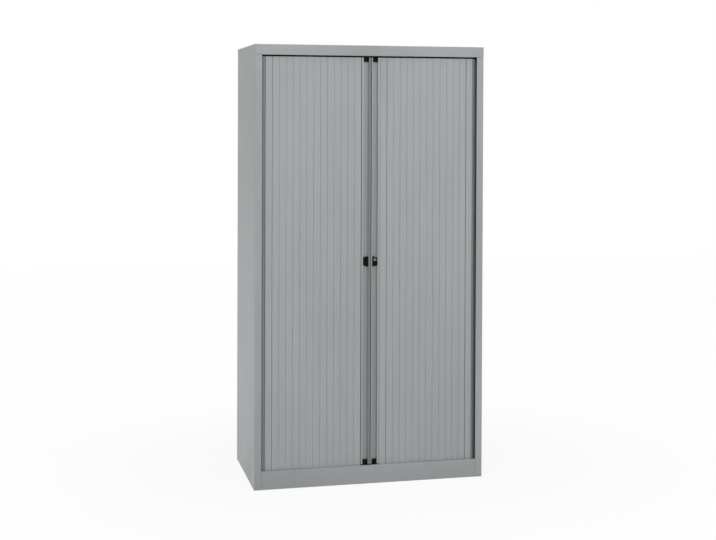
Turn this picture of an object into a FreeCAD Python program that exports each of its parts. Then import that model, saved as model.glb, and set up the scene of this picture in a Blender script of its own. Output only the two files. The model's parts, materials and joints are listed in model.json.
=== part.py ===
import FreeCAD, Part
import math
import os

# Side-opening roll front cabinet in sheet steel, in millimetres.
# Origin: middle of the footprint, on the floor. +X to the right, +Y to the back, +Z up. The front looks to -Y.
# The left front is modelled; the right one is its mirror image, apart from the lock.

Vec = FreeCAD.Vector
ORIGIN = Vec(0, 0, 0)
X_AXIS = Vec(1, 0, 0)
Y_AXIS = Vec(0, 1, 0)
Z_AXIS = Vec(0, 0, 1)

# Overall size
WIDTH = 1000.0
DEPTH = 470.0
HEIGHT = 1860.0

# Sheet metal
SHEET = 1.0
BEND = 1.0
CLEAR = 0.3
OVERRUN = 5.0
RUNNING = 0.08

# Carcass
FASCIA_HEIGHT = 44.0
FASCIA_UPTURN = 24.0
PLINTH_HEIGHT = 77.0
PLINTH_RETURN = 20.0
FLANGE_WIDTH = 30.0
FLANGE_HEM_DEPTH = 5.0
FLANGE_HEM_LENGTH = 8.0
REAR_FLANGE = 20.0
SEAM = 0.5
TOP_REAR_FOLD = 20.0
BASE_HEIGHT = 60.0
BASE_FOLD = 25.0
SWAGE_FROM_MIDDLE = 205.0
SWAGE_WIDTH = 30.0
SWAGE_SLOPE = 5.0
SWAGE_DEPTH = 3.0
WALL_HOLE_RADIUS = 4.0
WALL_HOLE_DROP = 90.0
WALL_HOLE_SPACING = 600.0

# Roll fronts
FRONT_RECESS = 12.0
SLATS = 14
CORNER_TURN = 45
SIDE_TURN = 90
DOOR_EDGE = 45.6
LEAD_WIDTH = 41.4
CENTRE_GAP = 3.0
SLAT_PLATE = 1.6
SLAT_EDGE = 0.8
SLAT_JOINT = 0.6
KNUCKLE_DEPTH = 5.2
BEAD_RADIUS = 1.9
SOCKET_WALL = 1.2
NECK = 1.2
WEB_SETBACK = 5.2
GLIDE_WIDTH = 8.6
GLIDE_SIDES = 8
KNUCKLE_SIDES = 6

# Tracks
TRACK_WALL = 1.5
TRACK_BASE = 2.0
TRACK_DEPTH = 8.0
TOP_TRACK_DROP = 6.0
TOP_TRACK_DEPTH = 16.0
TRACK_REAR_GAP = 9.0

# Lead rails
NOSE_WIDTH = 7.0
CHANNEL_WIDTH = 23.0
LEAD_JOINT_GAP = 1.6
LEAD_DEPTH = 13.0
LEAD_WALL = 1.4
LEAD_EDGE_RADIUS = 1.5
LEAD_FOOT_RISE = 3.0
CAP_FOOT = 9.0
CAP_PLUG = 18.0
CAP_GLIDE_EDGE = 1.0
CAP_INSET = 0.8

# Keeper and lock
GRIP_CENTRE_HEIGHT = 943.0
GRIP_HEIGHT = 41.0
GRIP_OUTER_HEIGHT = 30.0
GRIP_NOSE_LENGTH = 9.0
GRIP_PROUD = 1.5
GRIP_EDGE = 0.8
CYLINDER_RADIUS = 5.5
CYLINDER_RISE = 8.0
CYLINDER_FROM_NOSE = 11.5
CYLINDER_PROUD = 0.8
KEYWAY_WIDTH = 1.2
KEYWAY_LENGTH = 6.0
KEYWAY_DEPTH = 4.0
CAM_RADIUS = 7.5
CAM_WIDTH = 4.0
CAM_THICKNESS = 1.4
CYLINDER_NECK = 3.0
HOOK_THICKNESS = 2.3
HOOK_HALF_WIDTH = 4.0
HOOK_BEAK = 5.0
HOOK_BEAK_LENGTH = 4.5
HOOK_CLEAR = 0.5
PIVOT_RADIUS = 2.0
PIVOT_FROM_NOSE = 3.0
PIVOT_DROP = 8.5
LOCK_WALL = 2.0

# Liners, shelves and clips
LINER_SETBACK = 44.0
LINER_FRONT = 29.0
LINER_HEM = 4.0
LINER_HEM_LENGTH = 7.0
SLOT_WIDTH = 14.0
SLOT_HEIGHT = 10.0
SLOT_FIRST = 60.0
SLOT_LAST = 168.0
SLOT_ROW_FRONT = 85.0
SLOT_ROW_REAR = 55.0
SLOT_COUNT = 17
SHELF_SLOTS = (3, 7, 10, 13)
SHELF_FRONT = 40.0
SHELF_REAR = 8.0
SHELF_LIP = 24.0
SHELF_RETURN = 10.0
SHELF_SIDE_GAP = 1.0
CLIP_WIDTH = 12.0
CLIP_PLATE = 1.6
CLIP_REACH = 12.0
CLIP_HOOK = 12.0

# Feet
FOOT_INSET_X = 36.0
FOOT_INSET_Y = 50.0
BRACKET_PLATE = 2.0
BRACKET_WIDTH = 58.0
BRACKET_LENGTH = 50.0
BRACKET_HEIGHT = 19.0
PAD_RADIUS = 20.0
PAD_HEIGHT = 9.0
PAD_EDGE = 3.0
PAD_SIDES = 12
STEM_SIDES = 8
STEM_RADIUS = 4.9
STEM_TOP = 52.0
STEM_FIT = 0.1
NUT_RADIUS = 9.0
NUT_HEIGHT = 8.0

# Track screws
SCREW_RADIUS = 1.7
SCREW_HEAD_RADIUS = 3.0
SCREW_HEAD = 2.0
SCREW_BITE = 1.2
SCREW_HEAD_SIDES = 6
SCREW_SIDES = 8
SCREW_FIT = 0.1
SCREW_SIDE_REAR = 160.0
SCREW_FRONT_INNER = 180.0

# Places that follow from the sizes above
SIDE = WIDTH / 2
FRONT = -DEPTH / 2
REAR = DEPTH / 2
UNDER_TOP = HEIGHT - SHEET
SIDE_INNER = SIDE - SHEET
BACK_FACE = REAR - SHEET
FASCIA_BOTTOM = HEIGHT - FASCIA_HEIGHT
CURTAIN_FACE = FRONT + FRONT_RECESS
JOINT_LINE = CURTAIN_FACE + KNUCKLE_DEPTH
SOCKET_RADIUS = BEAD_RADIUS + CLEAR
KNUCKLE_RADIUS = SOCKET_RADIUS + SOCKET_WALL
GROOVE_HALF = GLIDE_WIDTH / 2 + CLEAR
GROOVE_LINE = CURTAIN_FACE + GLIDE_WIDTH / 2
FIRST_JOINT = SIDE - DOOR_EDGE
SLAT_PITCH = (FIRST_JOINT - LEAD_WIDTH) / SLATS
CORNER_STEP = SLAT_PITCH * math.cos(math.radians(CORNER_TURN))
SIDE_JOINT_LINE = FIRST_JOINT + CORNER_STEP
SIDE_GROOVE_LINE = SIDE_JOINT_LINE + KNUCKLE_DEPTH - GLIDE_WIDTH / 2
TRACK_CORNER = SIDE_GROOVE_LINE - (FIRST_JOINT - SLAT_PITCH / 2)
TRACK_HALF = GROOVE_HALF + TRACK_WALL
TRACK_END = BACK_FACE - TRACK_REAR_GAP
BOTTOM_GROOVE = BASE_HEIGHT + TRACK_BASE
BOTTOM_TRACK_TOP = BOTTOM_GROOVE + TRACK_DEPTH
TOP_TRACK_BOTTOM = FASCIA_BOTTOM - TOP_TRACK_DROP
TOP_GROOVE = TOP_TRACK_BOTTOM + TOP_TRACK_DEPTH
TOP_TRACK_TOP = TOP_GROOVE + TRACK_BASE
SLAT_BOTTOM = BOTTOM_TRACK_TOP + CLEAR
SLAT_TOP = TOP_TRACK_BOTTOM - CLEAR
GLIDE_BOTTOM = BOTTOM_GROOVE + CLEAR
GLIDE_TOP = TOP_GROOVE - CLEAR
LINER_FACE = SIDE - LINER_SETBACK
LINER_INNER = LINER_FACE - SHEET
NOSE_TIP = CENTRE_GAP / 2
NOSE_INNER = NOSE_TIP + NOSE_WIDTH
CHANNEL_OUTER = NOSE_INNER + CHANNEL_WIDTH
CHANNEL_FLOOR = CURTAIN_FACE + LEAD_DEPTH - LEAD_WALL
LEAD_BACK = CURTAIN_FACE + LEAD_DEPTH
LEAD_BOTTOM = PLINTH_HEIGHT + LEAD_FOOT_RISE
LEAD_TOP = SLAT_TOP
SLOT_PITCH = (TOP_TRACK_TOP - BASE_HEIGHT - SLOT_FIRST - SLOT_LAST) / (SLOT_COUNT - 1)


def across_x(x):
    """Places the points (y, z) of an outline at x."""
    return lambda u, v: Vec(x, u, v)


def across_y(y):
    """Places the points (x, z) of an outline at y."""
    return lambda u, v: Vec(u, y, v)


def across_z(z):
    """Places the points (x, y) of an outline at z."""
    return lambda u, v: Vec(u, v, z)


def unit(a, b):
    """Unit vector from a to b, in the plane."""
    length = math.hypot(b[0] - a[0], b[1] - a[1])
    return (b[0] - a[0]) / length, (b[1] - a[1]) / length


def rounded(corners, place):
    """Closed face through corners (u, v, radius): a radius of 0 leaves the corner sharp."""
    count = len(corners)
    spots = []
    for i, (u, v, radius) in enumerate(corners):
        if radius <= 0:
            spots.append(((u, v), None, (u, v)))
            continue
        back = unit((u, v), corners[i - 1])
        ahead = unit((u, v), corners[(i + 1) % count])
        cosine = back[0] * ahead[0] + back[1] * ahead[1]
        half = math.acos(max(-1, min(1, cosine))) / 2
        reach = radius / math.tan(half)
        middle = unit((0, 0), (back[0] + ahead[0], back[1] + ahead[1]))
        bulge = radius / math.sin(half) - radius
        spots.append((
            (u + back[0] * reach, v + back[1] * reach),
            (u + middle[0] * bulge, v + middle[1] * bulge),
            (u + ahead[0] * reach, v + ahead[1] * reach),
        ))
    edges = []
    for i, (start, crown, end) in enumerate(spots):
        if crown:
            edges.append(Part.Arc(place(*start), place(*crown), place(*end)).toShape())
        after = spots[(i + 1) % count][0]
        if math.dist(end, after) > SHEET / 1000:
            edges.append(Part.LineSegment(place(*end), place(*after)).toShape())
    return Part.Face(Part.Wire(edges))


def folded(path, thickness, place, bend=BEND):
    """Face of a folded sheet whose middle line runs through path, each fold with bend as its inner radius."""
    half = thickness / 2
    left, right = [], []
    for i, (u, v) in enumerate(path):
        ins = unit(path[i - 1], path[i]) if i else unit(path[0], path[1])
        outs = unit(path[i], path[i + 1]) if i + 1 < len(path) else ins
        normal = unit((0, 0), (-ins[1] - outs[1], ins[0] + outs[0]))
        reach = half / (normal[1] * ins[0] - normal[0] * ins[1])
        turn = ins[0] * outs[1] - ins[1] * outs[0]
        inner = bend if i and i + 1 < len(path) else 0
        outer = bend + thickness if inner else 0
        left.append((u + normal[0] * reach, v + normal[1] * reach, inner if turn > 0 else outer))
        right.append((u - normal[0] * reach, v - normal[1] * reach, outer if turn > 0 else inner))
    return rounded(left + right[::-1], place)


def polygon(points, place):
    """Closed face with sharp corners."""
    return rounded([(u, v, 0) for u, v in points], place)


def block(x0, x1, y0, y1, z0, z1):
    """Box between two corners."""
    return Part.makeBox(x1 - x0, y1 - y0, z1 - z0, Vec(x0, y0, z0))


def rod(radius, start, axis, length):
    """Round bar from start along axis."""
    return Part.makeCylinder(radius, length, start, axis)


def prism(sides, flats, x, y, z0, z1):
    """Upright bar with an even number of sides, flats apart, with flats square to X and Y."""
    radius = flats / 2 / math.cos(math.pi / sides)
    turns = [math.pi * (2 * i + 1) / sides for i in range(sides)]
    points = [(x + radius * math.cos(a), y + radius * math.sin(a)) for a in turns]
    return polygon(points, across_z(z0)).extrude(Z_AXIS * (z1 - z0))


def fuse(*shapes):
    """One solid from pieces that touch or overlap."""
    return shapes[0].multiFuse(list(shapes[1:])).removeSplitter()


def mirrored(shape):
    """The same piece on the other side of the cabinet."""
    return shape.mirror(ORIGIN, X_AXIS)


def save(name, shape):
    """Writes one node."""
    shape.exportStep("parts/" + name + ".step")


def side_panel():
    """Left side: wall, rear flange and front flange with a folded-back hem."""
    half = SHEET / 2
    wall = -SIDE + half
    hem = -SIDE + FLANGE_WIDTH - half
    hem_back = FRONT + FLANGE_HEM_DEPTH - half
    path = [
        (-SIDE + REAR_FLANGE, REAR - half),
        (wall, REAR - half),
        (wall, FRONT + half),
        (hem, FRONT + half),
        (hem, hem_back),
        (hem - FLANGE_HEM_LENGTH, hem_back),
    ]
    panel = folded(path, SHEET, across_z(0)).extrude(Z_AXIS * UNDER_TOP)
    reach = -SIDE - OVERRUN
    inside = -SIDE + FLANGE_WIDTH + OVERRUN
    over = HEIGHT + OVERRUN
    front_seam = FASCIA_BOTTOM - SEAM
    rear_seam = UNDER_TOP - TOP_REAR_FOLD - SEAM
    fold = SHEET + BEND
    panel = panel.cut(block(reach, inside, FRONT - OVERRUN, FRONT + fold, front_seam, over))
    behind = FRONT + FLANGE_HEM_DEPTH + OVERRUN
    panel = panel.cut(block(-SIDE_INNER, inside, FRONT - OVERRUN, behind, front_seam, over))
    return panel.cut(block(reach, inside, REAR - fold, REAR + OVERRUN, rear_seam, over))


def top_panel():
    """Top with the fascia in front, its return and upturn, the rear fold and the two track rails."""
    half = SHEET / 2
    upturn = GROOVE_LINE - TRACK_HALF - half
    path = [
        (upturn, FASCIA_BOTTOM + FASCIA_UPTURN),
        (upturn, FASCIA_BOTTOM + half),
        (FRONT + half, FASCIA_BOTTOM + half),
        (FRONT + half, HEIGHT - half),
        (REAR - half, HEIGHT - half),
        (REAR - half, UNDER_TOP - TOP_REAR_FOLD),
    ]
    panel = folded(path, SHEET, across_x(-SIDE)).extrude(X_AXIS * WIDTH)
    return_top = FASCIA_BOTTOM + FASCIA_UPTURN + OVERRUN
    behind = upturn + SHEET
    notch = block(-SIDE - OVERRUN, -SIDE_INNER, FRONT + SHEET, behind, FASCIA_BOTTOM - OVERRUN, return_top)
    panel = panel.cut(notch).cut(mirrored(notch))
    rail_path = [
        (-LINER_INNER, TOP_TRACK_TOP + half),
        (-SIDE_INNER + half, TOP_TRACK_TOP + half),
        (-SIDE_INNER + half, UNDER_TOP + half),
    ]
    rail_front = behind - half + CLEAR
    rail_rear = BACK_FACE - SHEET - CLEAR
    rail = folded(rail_path, SHEET, across_y(rail_front), 0).extrude(Y_AXIS * (rail_rear - rail_front))
    panel = fuse(panel, rail, mirrored(rail))
    for start, axis in top_screws():
        hole = shank(SCREW_RADIUS + SCREW_FIT, start - axis * SHEET, axis, SHEET * 3)
        panel = panel.cut(hole).cut(mirrored(hole))
    return panel


def back_panel():
    """Back with two upright swages and two wall-fixing holes."""
    half = SHEET / 2
    flat = BACK_FACE - half
    path = [(-SIDE_INNER + BEND, flat)]
    for middle in (-SWAGE_FROM_MIDDLE, SWAGE_FROM_MIDDLE):
        path += [
            (middle - SWAGE_WIDTH / 2, flat),
            (middle - SWAGE_WIDTH / 2 + SWAGE_SLOPE, flat - SWAGE_DEPTH),
            (middle + SWAGE_WIDTH / 2 - SWAGE_SLOPE, flat - SWAGE_DEPTH),
            (middle + SWAGE_WIDTH / 2, flat),
        ]
    path.append((SIDE_INNER - BEND, flat))
    panel = folded(path, SHEET, across_z(0), 0).extrude(Z_AXIS * (UNDER_TOP - BEND))
    for x in (-WALL_HOLE_SPACING / 2, WALL_HOLE_SPACING / 2):
        start = Vec(x, BACK_FACE - OVERRUN, HEIGHT - WALL_HOLE_DROP)
        panel = panel.cut(rod(WALL_HOLE_RADIUS, start, Y_AXIS, OVERRUN * 2))
    return panel


def base_panel():
    """Floor of the cabinet with a fold down on each side, notched round the front flanges."""
    half = SHEET / 2
    rear = BACK_FACE - SHEET - SWAGE_DEPTH - half
    path = [
        (FRONT + SHEET + half, BASE_HEIGHT - BASE_FOLD),
        (FRONT + SHEET + half, BASE_HEIGHT - half),
        (rear, BASE_HEIGHT - half),
        (rear, BASE_HEIGHT - BASE_FOLD),
    ]
    panel = folded(path, SHEET, across_x(-SIDE_INNER), 0).extrude(X_AXIS * SIDE_INNER * 2)
    side_path = [
        (-SIDE_INNER + half, BASE_HEIGHT - BASE_FOLD),
        (-SIDE_INNER + half, BASE_HEIGHT - half),
        (-SIDE_INNER + BASE_FOLD, BASE_HEIGHT - half),
    ]
    side_start = FRONT + SHEET + BEND
    side = folded(side_path, SHEET, across_y(side_start), 0).extrude(Y_AXIS * (rear - side_start))
    panel = fuse(panel, side, mirrored(side))
    notch_end = -SIDE + FLANGE_WIDTH + SEAM
    behind = FRONT + FLANGE_HEM_DEPTH + CLEAR
    notch = block(-SIDE, notch_end, FRONT, behind, BASE_HEIGHT - BASE_FOLD - OVERRUN, BASE_HEIGHT + OVERRUN)
    panel = panel.cut(notch).cut(mirrored(notch))
    for start, axis in bottom_screws():
        hole = shank(SCREW_RADIUS + SCREW_FIT, start - axis * SHEET, axis, SHEET * 3)
        panel = panel.cut(hole).cut(mirrored(hole))
    return panel


def plinth():
    """Plinth between the front flanges, with the ledge that covers the bottom tracks."""
    half = SHEET / 2
    lip = GROOVE_LINE - GROOVE_HALF - half
    path = [
        (FRONT + PLINTH_RETURN, half),
        (FRONT + half, half),
        (FRONT + half, PLINTH_HEIGHT - half),
        (lip, PLINTH_HEIGHT - half),
        (lip, BOTTOM_TRACK_TOP),
    ]
    end = SIDE - FLANGE_WIDTH - SEAM
    return folded(path, SHEET, across_x(-end)).extrude(X_AXIS * end * 2)


def slot_height(index):
    """Height of a slot's middle in the liners."""
    return BASE_HEIGHT + SLOT_FIRST + index * SLOT_PITCH


def slot_rows():
    """The two upright rows of slots, front and rear."""
    return FRONT + SLOT_ROW_FRONT, REAR - SLOT_ROW_REAR


def inner_liner():
    """Left liner between the goods and the roll front, with rows of slots for the shelf clips."""
    half = SHEET / 2
    wall = -LINER_FACE + half
    hem = wall + LINER_HEM - SHEET
    front = FRONT + LINER_FRONT + half
    path = [
        (wall, BACK_FACE - SHEET),
        (wall, front),
        (hem, front),
        (hem, front + LINER_HEM_LENGTH),
    ]
    liner = folded(path, SHEET, across_z(BASE_HEIGHT), 0).extrude(Z_AXIS * (TOP_TRACK_TOP - BASE_HEIGHT))
    slots = []
    for y in slot_rows():
        for index in range(SLOT_COUNT):
            z = slot_height(index) - SLOT_HEIGHT / 2
            slots.append(block(
                -LINER_FACE - SHEET, -LINER_INNER + SHEET,
                y - SLOT_WIDTH / 2, y + SLOT_WIDTH / 2,
                z, z + SLOT_HEIGHT,
            ))
    return liner.cut(Part.makeCompound(slots))


def shelf_seat(index):
    """Height at which a shelf lies on the clips in the slots with this index."""
    return slot_height(index) + SLOT_HEIGHT / 2 - CLEAR


def shelf(index):
    """Shelf with a folded lip in front and behind."""
    half = SHEET / 2
    deck = shelf_seat(index) + half
    front = FRONT + SHELF_FRONT
    rear = BACK_FACE - SHELF_REAR
    path = [
        (front + SHELF_RETURN, deck - SHELF_LIP + SHEET),
        (front + half, deck - SHELF_LIP + SHEET),
        (front + half, deck),
        (rear - half, deck),
        (rear - half, deck - SHELF_LIP + SHEET),
        (rear - SHELF_RETURN, deck - SHELF_LIP + SHEET),
    ]
    end = LINER_INNER - SHELF_SIDE_GAP
    return folded(path, SHEET, across_x(-end), 0).extrude(X_AXIS * end * 2)


def shelf_clips():
    """Four bent clips under each shelf, hooked through the liners."""
    clips = []
    for index in SHELF_SLOTS:
        arm = shelf_seat(index) - CLIP_PLATE / 2
        hook = -LINER_FACE - CLEAR - CLIP_PLATE / 2
        path = [
            (-LINER_INNER + CLIP_REACH, arm),
            (hook, arm),
            (hook, arm - CLIP_HOOK),
        ]
        for y in slot_rows():
            face = folded(path, CLIP_PLATE, across_y(y - CLIP_WIDTH / 2), 0)
            clip = face.extrude(Y_AXIS * CLIP_WIDTH)
            clips += [clip, mirrored(clip)]
    return Part.makeCompound(clips)


def track_outline(half, end, z):
    """Band round the corner: along the front from the middle, then along the side to the back."""
    front = GROOVE_LINE - half
    outer = -SIDE_GROOVE_LINE - half
    inner = -SIDE_GROOVE_LINE + half
    middle = -CENTRE_GAP / 2
    return rounded([
        (middle, front, 0),
        (outer, front, TRACK_CORNER + half),
        (outer, end, 0),
        (inner, end, 0),
        (inner, GROOVE_LINE + half, TRACK_CORNER - half),
        (middle, GROOVE_LINE + half, 0),
    ], across_z(z))


def track(low, high, groove_low, groove_high):
    """Channel that guides the glides of the slats round the corner; closed at its rear end."""
    body = track_outline(TRACK_HALF, TRACK_END, low).extrude(Z_AXIS * (high - low))
    groove = track_outline(GROOVE_HALF, TRACK_END - TRACK_WALL, groove_low)
    return body.cut(groove.extrude(Z_AXIS * (groove_high - groove_low)))


def bottom_track():
    """Left bottom track with the blind holes of its screws."""
    rail = track(BASE_HEIGHT, BOTTOM_TRACK_TOP, BOTTOM_GROOVE, BOTTOM_TRACK_TOP + OVERRUN)
    for start, axis in bottom_screws():
        rail = rail.cut(shank(SCREW_RADIUS, start, axis, SHEET + SCREW_BITE))
    return rail


def top_track():
    """Left top track, whose dark lip shows under the fascia."""
    rail = track(TOP_TRACK_BOTTOM, TOP_TRACK_TOP, TOP_TRACK_BOTTOM - OVERRUN, TOP_GROOVE)
    for start, axis in top_screws():
        rail = rail.cut(shank(SCREW_RADIUS, start, axis, SHEET + SCREW_BITE))
    return rail


def top_screws():
    """Seats and directions of the screws of the left top track: in the side rail and in the fascia's upturn."""
    height = (FASCIA_BOTTOM + SHEET + BEND + TOP_TRACK_TOP) / 2
    return [
        (Vec(-SIDE_GROOVE_LINE, TRACK_END - SCREW_SIDE_REAR, TOP_TRACK_TOP + SHEET), -Z_AXIS),
        (Vec(-SCREW_FRONT_INNER, GROOVE_LINE - TRACK_HALF - SHEET, height), Y_AXIS),
    ]


def bottom_screws():
    """Seats and directions of the screws of the left bottom track, both from below the floor."""
    return [
        (Vec(-SIDE_GROOVE_LINE, TRACK_END - SCREW_SIDE_REAR, BASE_HEIGHT - SHEET), Z_AXIS),
        (Vec(-SCREW_FRONT_INNER, GROOVE_LINE, BASE_HEIGHT - SHEET), Z_AXIS),
    ]


def shank(radius, start, axis, length):
    """Screw shank, or the hole for one, from start along axis."""
    piece = polygon(ring_points(radius, SCREW_SIDES), across_z(0)).extrude(Z_AXIS * length)
    piece.Placement = FreeCAD.Placement(start, FreeCAD.Rotation(Z_AXIS, axis))
    return piece


def screw(start, axis):
    """Hexagon-headed screw whose head sits at start and whose shank runs along axis."""
    head = polygon(ring_points(SCREW_HEAD_RADIUS, SCREW_HEAD_SIDES), across_z(0)).extrude(Z_AXIS * SCREW_HEAD)
    head.Placement = FreeCAD.Placement(start - axis * SCREW_HEAD, FreeCAD.Rotation(Z_AXIS, axis))
    return fuse(head, shank(SCREW_RADIUS, start - axis * SCREW_HEAD, axis, SCREW_HEAD + SHEET + SCREW_BITE))


def ring_points(radius, sides):
    """Corners of a regular outline about the origin."""
    turns = [math.pi * (2 * i + 1) / sides for i in range(sides)]
    return [(radius * math.cos(a), radius * math.sin(a)) for a in turns]


def track_screws():
    """The screws that hold the four tracks."""
    screws = [screw(start, axis) for start, axis in top_screws() + bottom_screws()]
    return Part.makeCompound(screws + [mirrored(piece) for piece in screws])


def foot_places():
    """The four feet, as (side, front or back)."""
    return [(sx * (SIDE - FOOT_INSET_X), sy * (REAR - FOOT_INSET_Y)) for sx in (-1, 1) for sy in (-1, 1)]


def foot_brackets():
    """Channels under the floor, each with a welded nut for a foot."""
    outer = -SIDE_INNER + SHEET + BEND + BRACKET_PLATE / 2
    plate = BRACKET_HEIGHT + BRACKET_PLATE / 2
    path = [
        (outer, BASE_HEIGHT - SHEET),
        (outer, plate),
        (outer + BRACKET_WIDTH, plate),
        (outer + BRACKET_WIDTH, BASE_HEIGHT - SHEET),
    ]
    brackets = []
    for x, y in foot_places():
        if x > 0:
            continue
        face = folded(path, BRACKET_PLATE, across_y(y - BRACKET_LENGTH / 2), 0)
        nut_top = plate + BRACKET_PLATE / 2 + NUT_HEIGHT
        nut = prism(SCREW_HEAD_SIDES, NUT_RADIUS * 2, x, y, plate, nut_top)
        hole = prism(STEM_SIDES, (STEM_RADIUS + STEM_FIT) * 2, x, y, 0, BASE_HEIGHT)
        bracket = fuse(face.extrude(Y_AXIS * BRACKET_LENGTH), nut).cut(hole)
        brackets += [bracket, mirrored(bracket)]
    return Part.makeCompound(brackets)


def levelling_feet():
    """Moulded pad with its threaded stem, wound in so far that the cabinet stands on its own edges."""
    feet = []
    for x, y in foot_places():
        pad = prism(PAD_SIDES, PAD_RADIUS * 2, x, y, 0, PAD_EDGE)
        edges = [edge for edge in pad.Edges if edge.BoundBox.ZMin > PAD_EDGE / 2]
        pad = pad.makeChamfer(PAD_EDGE / 2, edges)
        collar = prism(PAD_SIDES, NUT_RADIUS * 2, x, y, 0, PAD_HEIGHT)
        stem = prism(STEM_SIDES, STEM_RADIUS * 2, x, y, 0, STEM_TOP)
        feet.append(fuse(pad, collar, stem))
    return Part.makeCompound(feet)


def socket_points():
    """Open ring that holds the next slat's bead, open towards it and a half turn more to the back."""
    opening = math.pi / KNUCKLE_SIDES
    turns = [opening * (2 * i + 3) for i in range(KNUCKLE_SIDES - 1)]
    outer = [(KNUCKLE_RADIUS * math.cos(a), KNUCKLE_RADIUS * math.sin(a)) for a in turns]
    inner = [(SOCKET_RADIUS * math.cos(a), SOCKET_RADIUS * math.sin(a)) for a in reversed(turns)]
    return [(SLAT_PITCH + u, KNUCKLE_DEPTH + v) for u, v in outer + inner]


def glide(x, y, z0, z1):
    """Eight-sided glide that fits the groove along the front, round the corner and along the side."""
    return prism(GLIDE_SIDES, GLIDE_WIDTH, x, y, z0, z1)


def slat():
    """Slat with its joint to the outer side at x = 0 and the next one a pitch on, front face at y = 0."""
    length = Z_AXIS * (SLAT_TOP - SLAT_BOTTOM)
    place = across_z(SLAT_BOTTOM)
    near = SLAT_JOINT / 2
    far = SLAT_PITCH - SLAT_JOINT / 2
    plate = polygon([
        (near, SLAT_EDGE),
        (near + SLAT_EDGE, 0),
        (far - SLAT_EDGE, 0),
        (far, SLAT_EDGE),
        (far, SLAT_PLATE),
        (near, SLAT_PLATE),
    ], place)
    neck = polygon([
        (0, KNUCKLE_DEPTH - NECK / 2),
        (WEB_SETBACK - NECK, KNUCKLE_DEPTH - NECK / 2),
        (WEB_SETBACK - NECK, SLAT_PLATE / 2),
        (WEB_SETBACK, SLAT_PLATE / 2),
        (WEB_SETBACK, KNUCKLE_DEPTH + NECK / 2),
        (0, KNUCKLE_DEPTH + NECK / 2),
    ], place)
    bead = polygon([(u, KNUCKLE_DEPTH + v) for u, v in ring_points(BEAD_RADIUS, KNUCKLE_SIDES)], place)
    socket = polygon(socket_points(), place)
    wall = SLAT_PITCH - KNUCKLE_RADIUS
    web = polygon([
        (wall, SLAT_PLATE / 2),
        (wall + SOCKET_WALL, SLAT_PLATE / 2),
        (wall + SOCKET_WALL, KNUCKLE_DEPTH),
        (wall, KNUCKLE_DEPTH),
    ], place)
    section = [face.extrude(length) for face in (plate, neck, bead, socket, web)]
    ends = [
        glide(SLAT_PITCH / 2, GLIDE_WIDTH / 2, GLIDE_BOTTOM, SLAT_BOTTOM),
        glide(SLAT_PITCH / 2, GLIDE_WIDTH / 2, SLAT_TOP, GLIDE_TOP),
    ]
    return fuse(*section, *ends)


def hung(piece, x, y, turn):
    """A slat with its inner joint at (x, y), turned towards the side by turn degrees."""
    moved = piece.copy()
    at_joint = FreeCAD.Placement(Vec(-SLAT_PITCH, -KNUCKLE_DEPTH, 0), FreeCAD.Rotation())
    moved.Placement = FreeCAD.Placement(Vec(x, y, 0), FreeCAD.Rotation(Z_AXIS, -turn)).multiply(at_joint)
    return moved


def curtain():
    """The left front's slats by name: the ones in view from the side inwards, the corner and the tail."""
    piece = slat()
    named = {}
    for number in range(1, SLATS + 1):
        x = -FIRST_JOINT + number * SLAT_PITCH
        named["slat_%02d" % number] = hung(piece, x, JOINT_LINE, 0)
    named["corner_slat"] = hung(piece, -FIRST_JOINT, JOINT_LINE, CORNER_TURN)
    named["tail_slat"] = hung(piece, -SIDE_JOINT_LINE, JOINT_LINE + CORNER_STEP, SIDE_TURN)
    return named


def hook_height():
    """Height of the hook's pivot."""
    return GRIP_CENTRE_HEIGHT - PIVOT_DROP


def hook_reach():
    """Length of the hook from its pivot to its tip."""
    return NOSE_INNER + PIVOT_FROM_NOSE + NOSE_INNER + HOOK_CLEAR + HOOK_BEAK_LENGTH


def hook_layers():
    """Depths of the lock's pocket, cam, hook and channel floor, from the front."""
    hook_front = CHANNEL_FLOOR - CLEAR - HOOK_THICKNESS
    cam_front = hook_front - CLEAR - CAM_THICKNESS
    return cam_front - CLEAR, cam_front, hook_front


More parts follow.
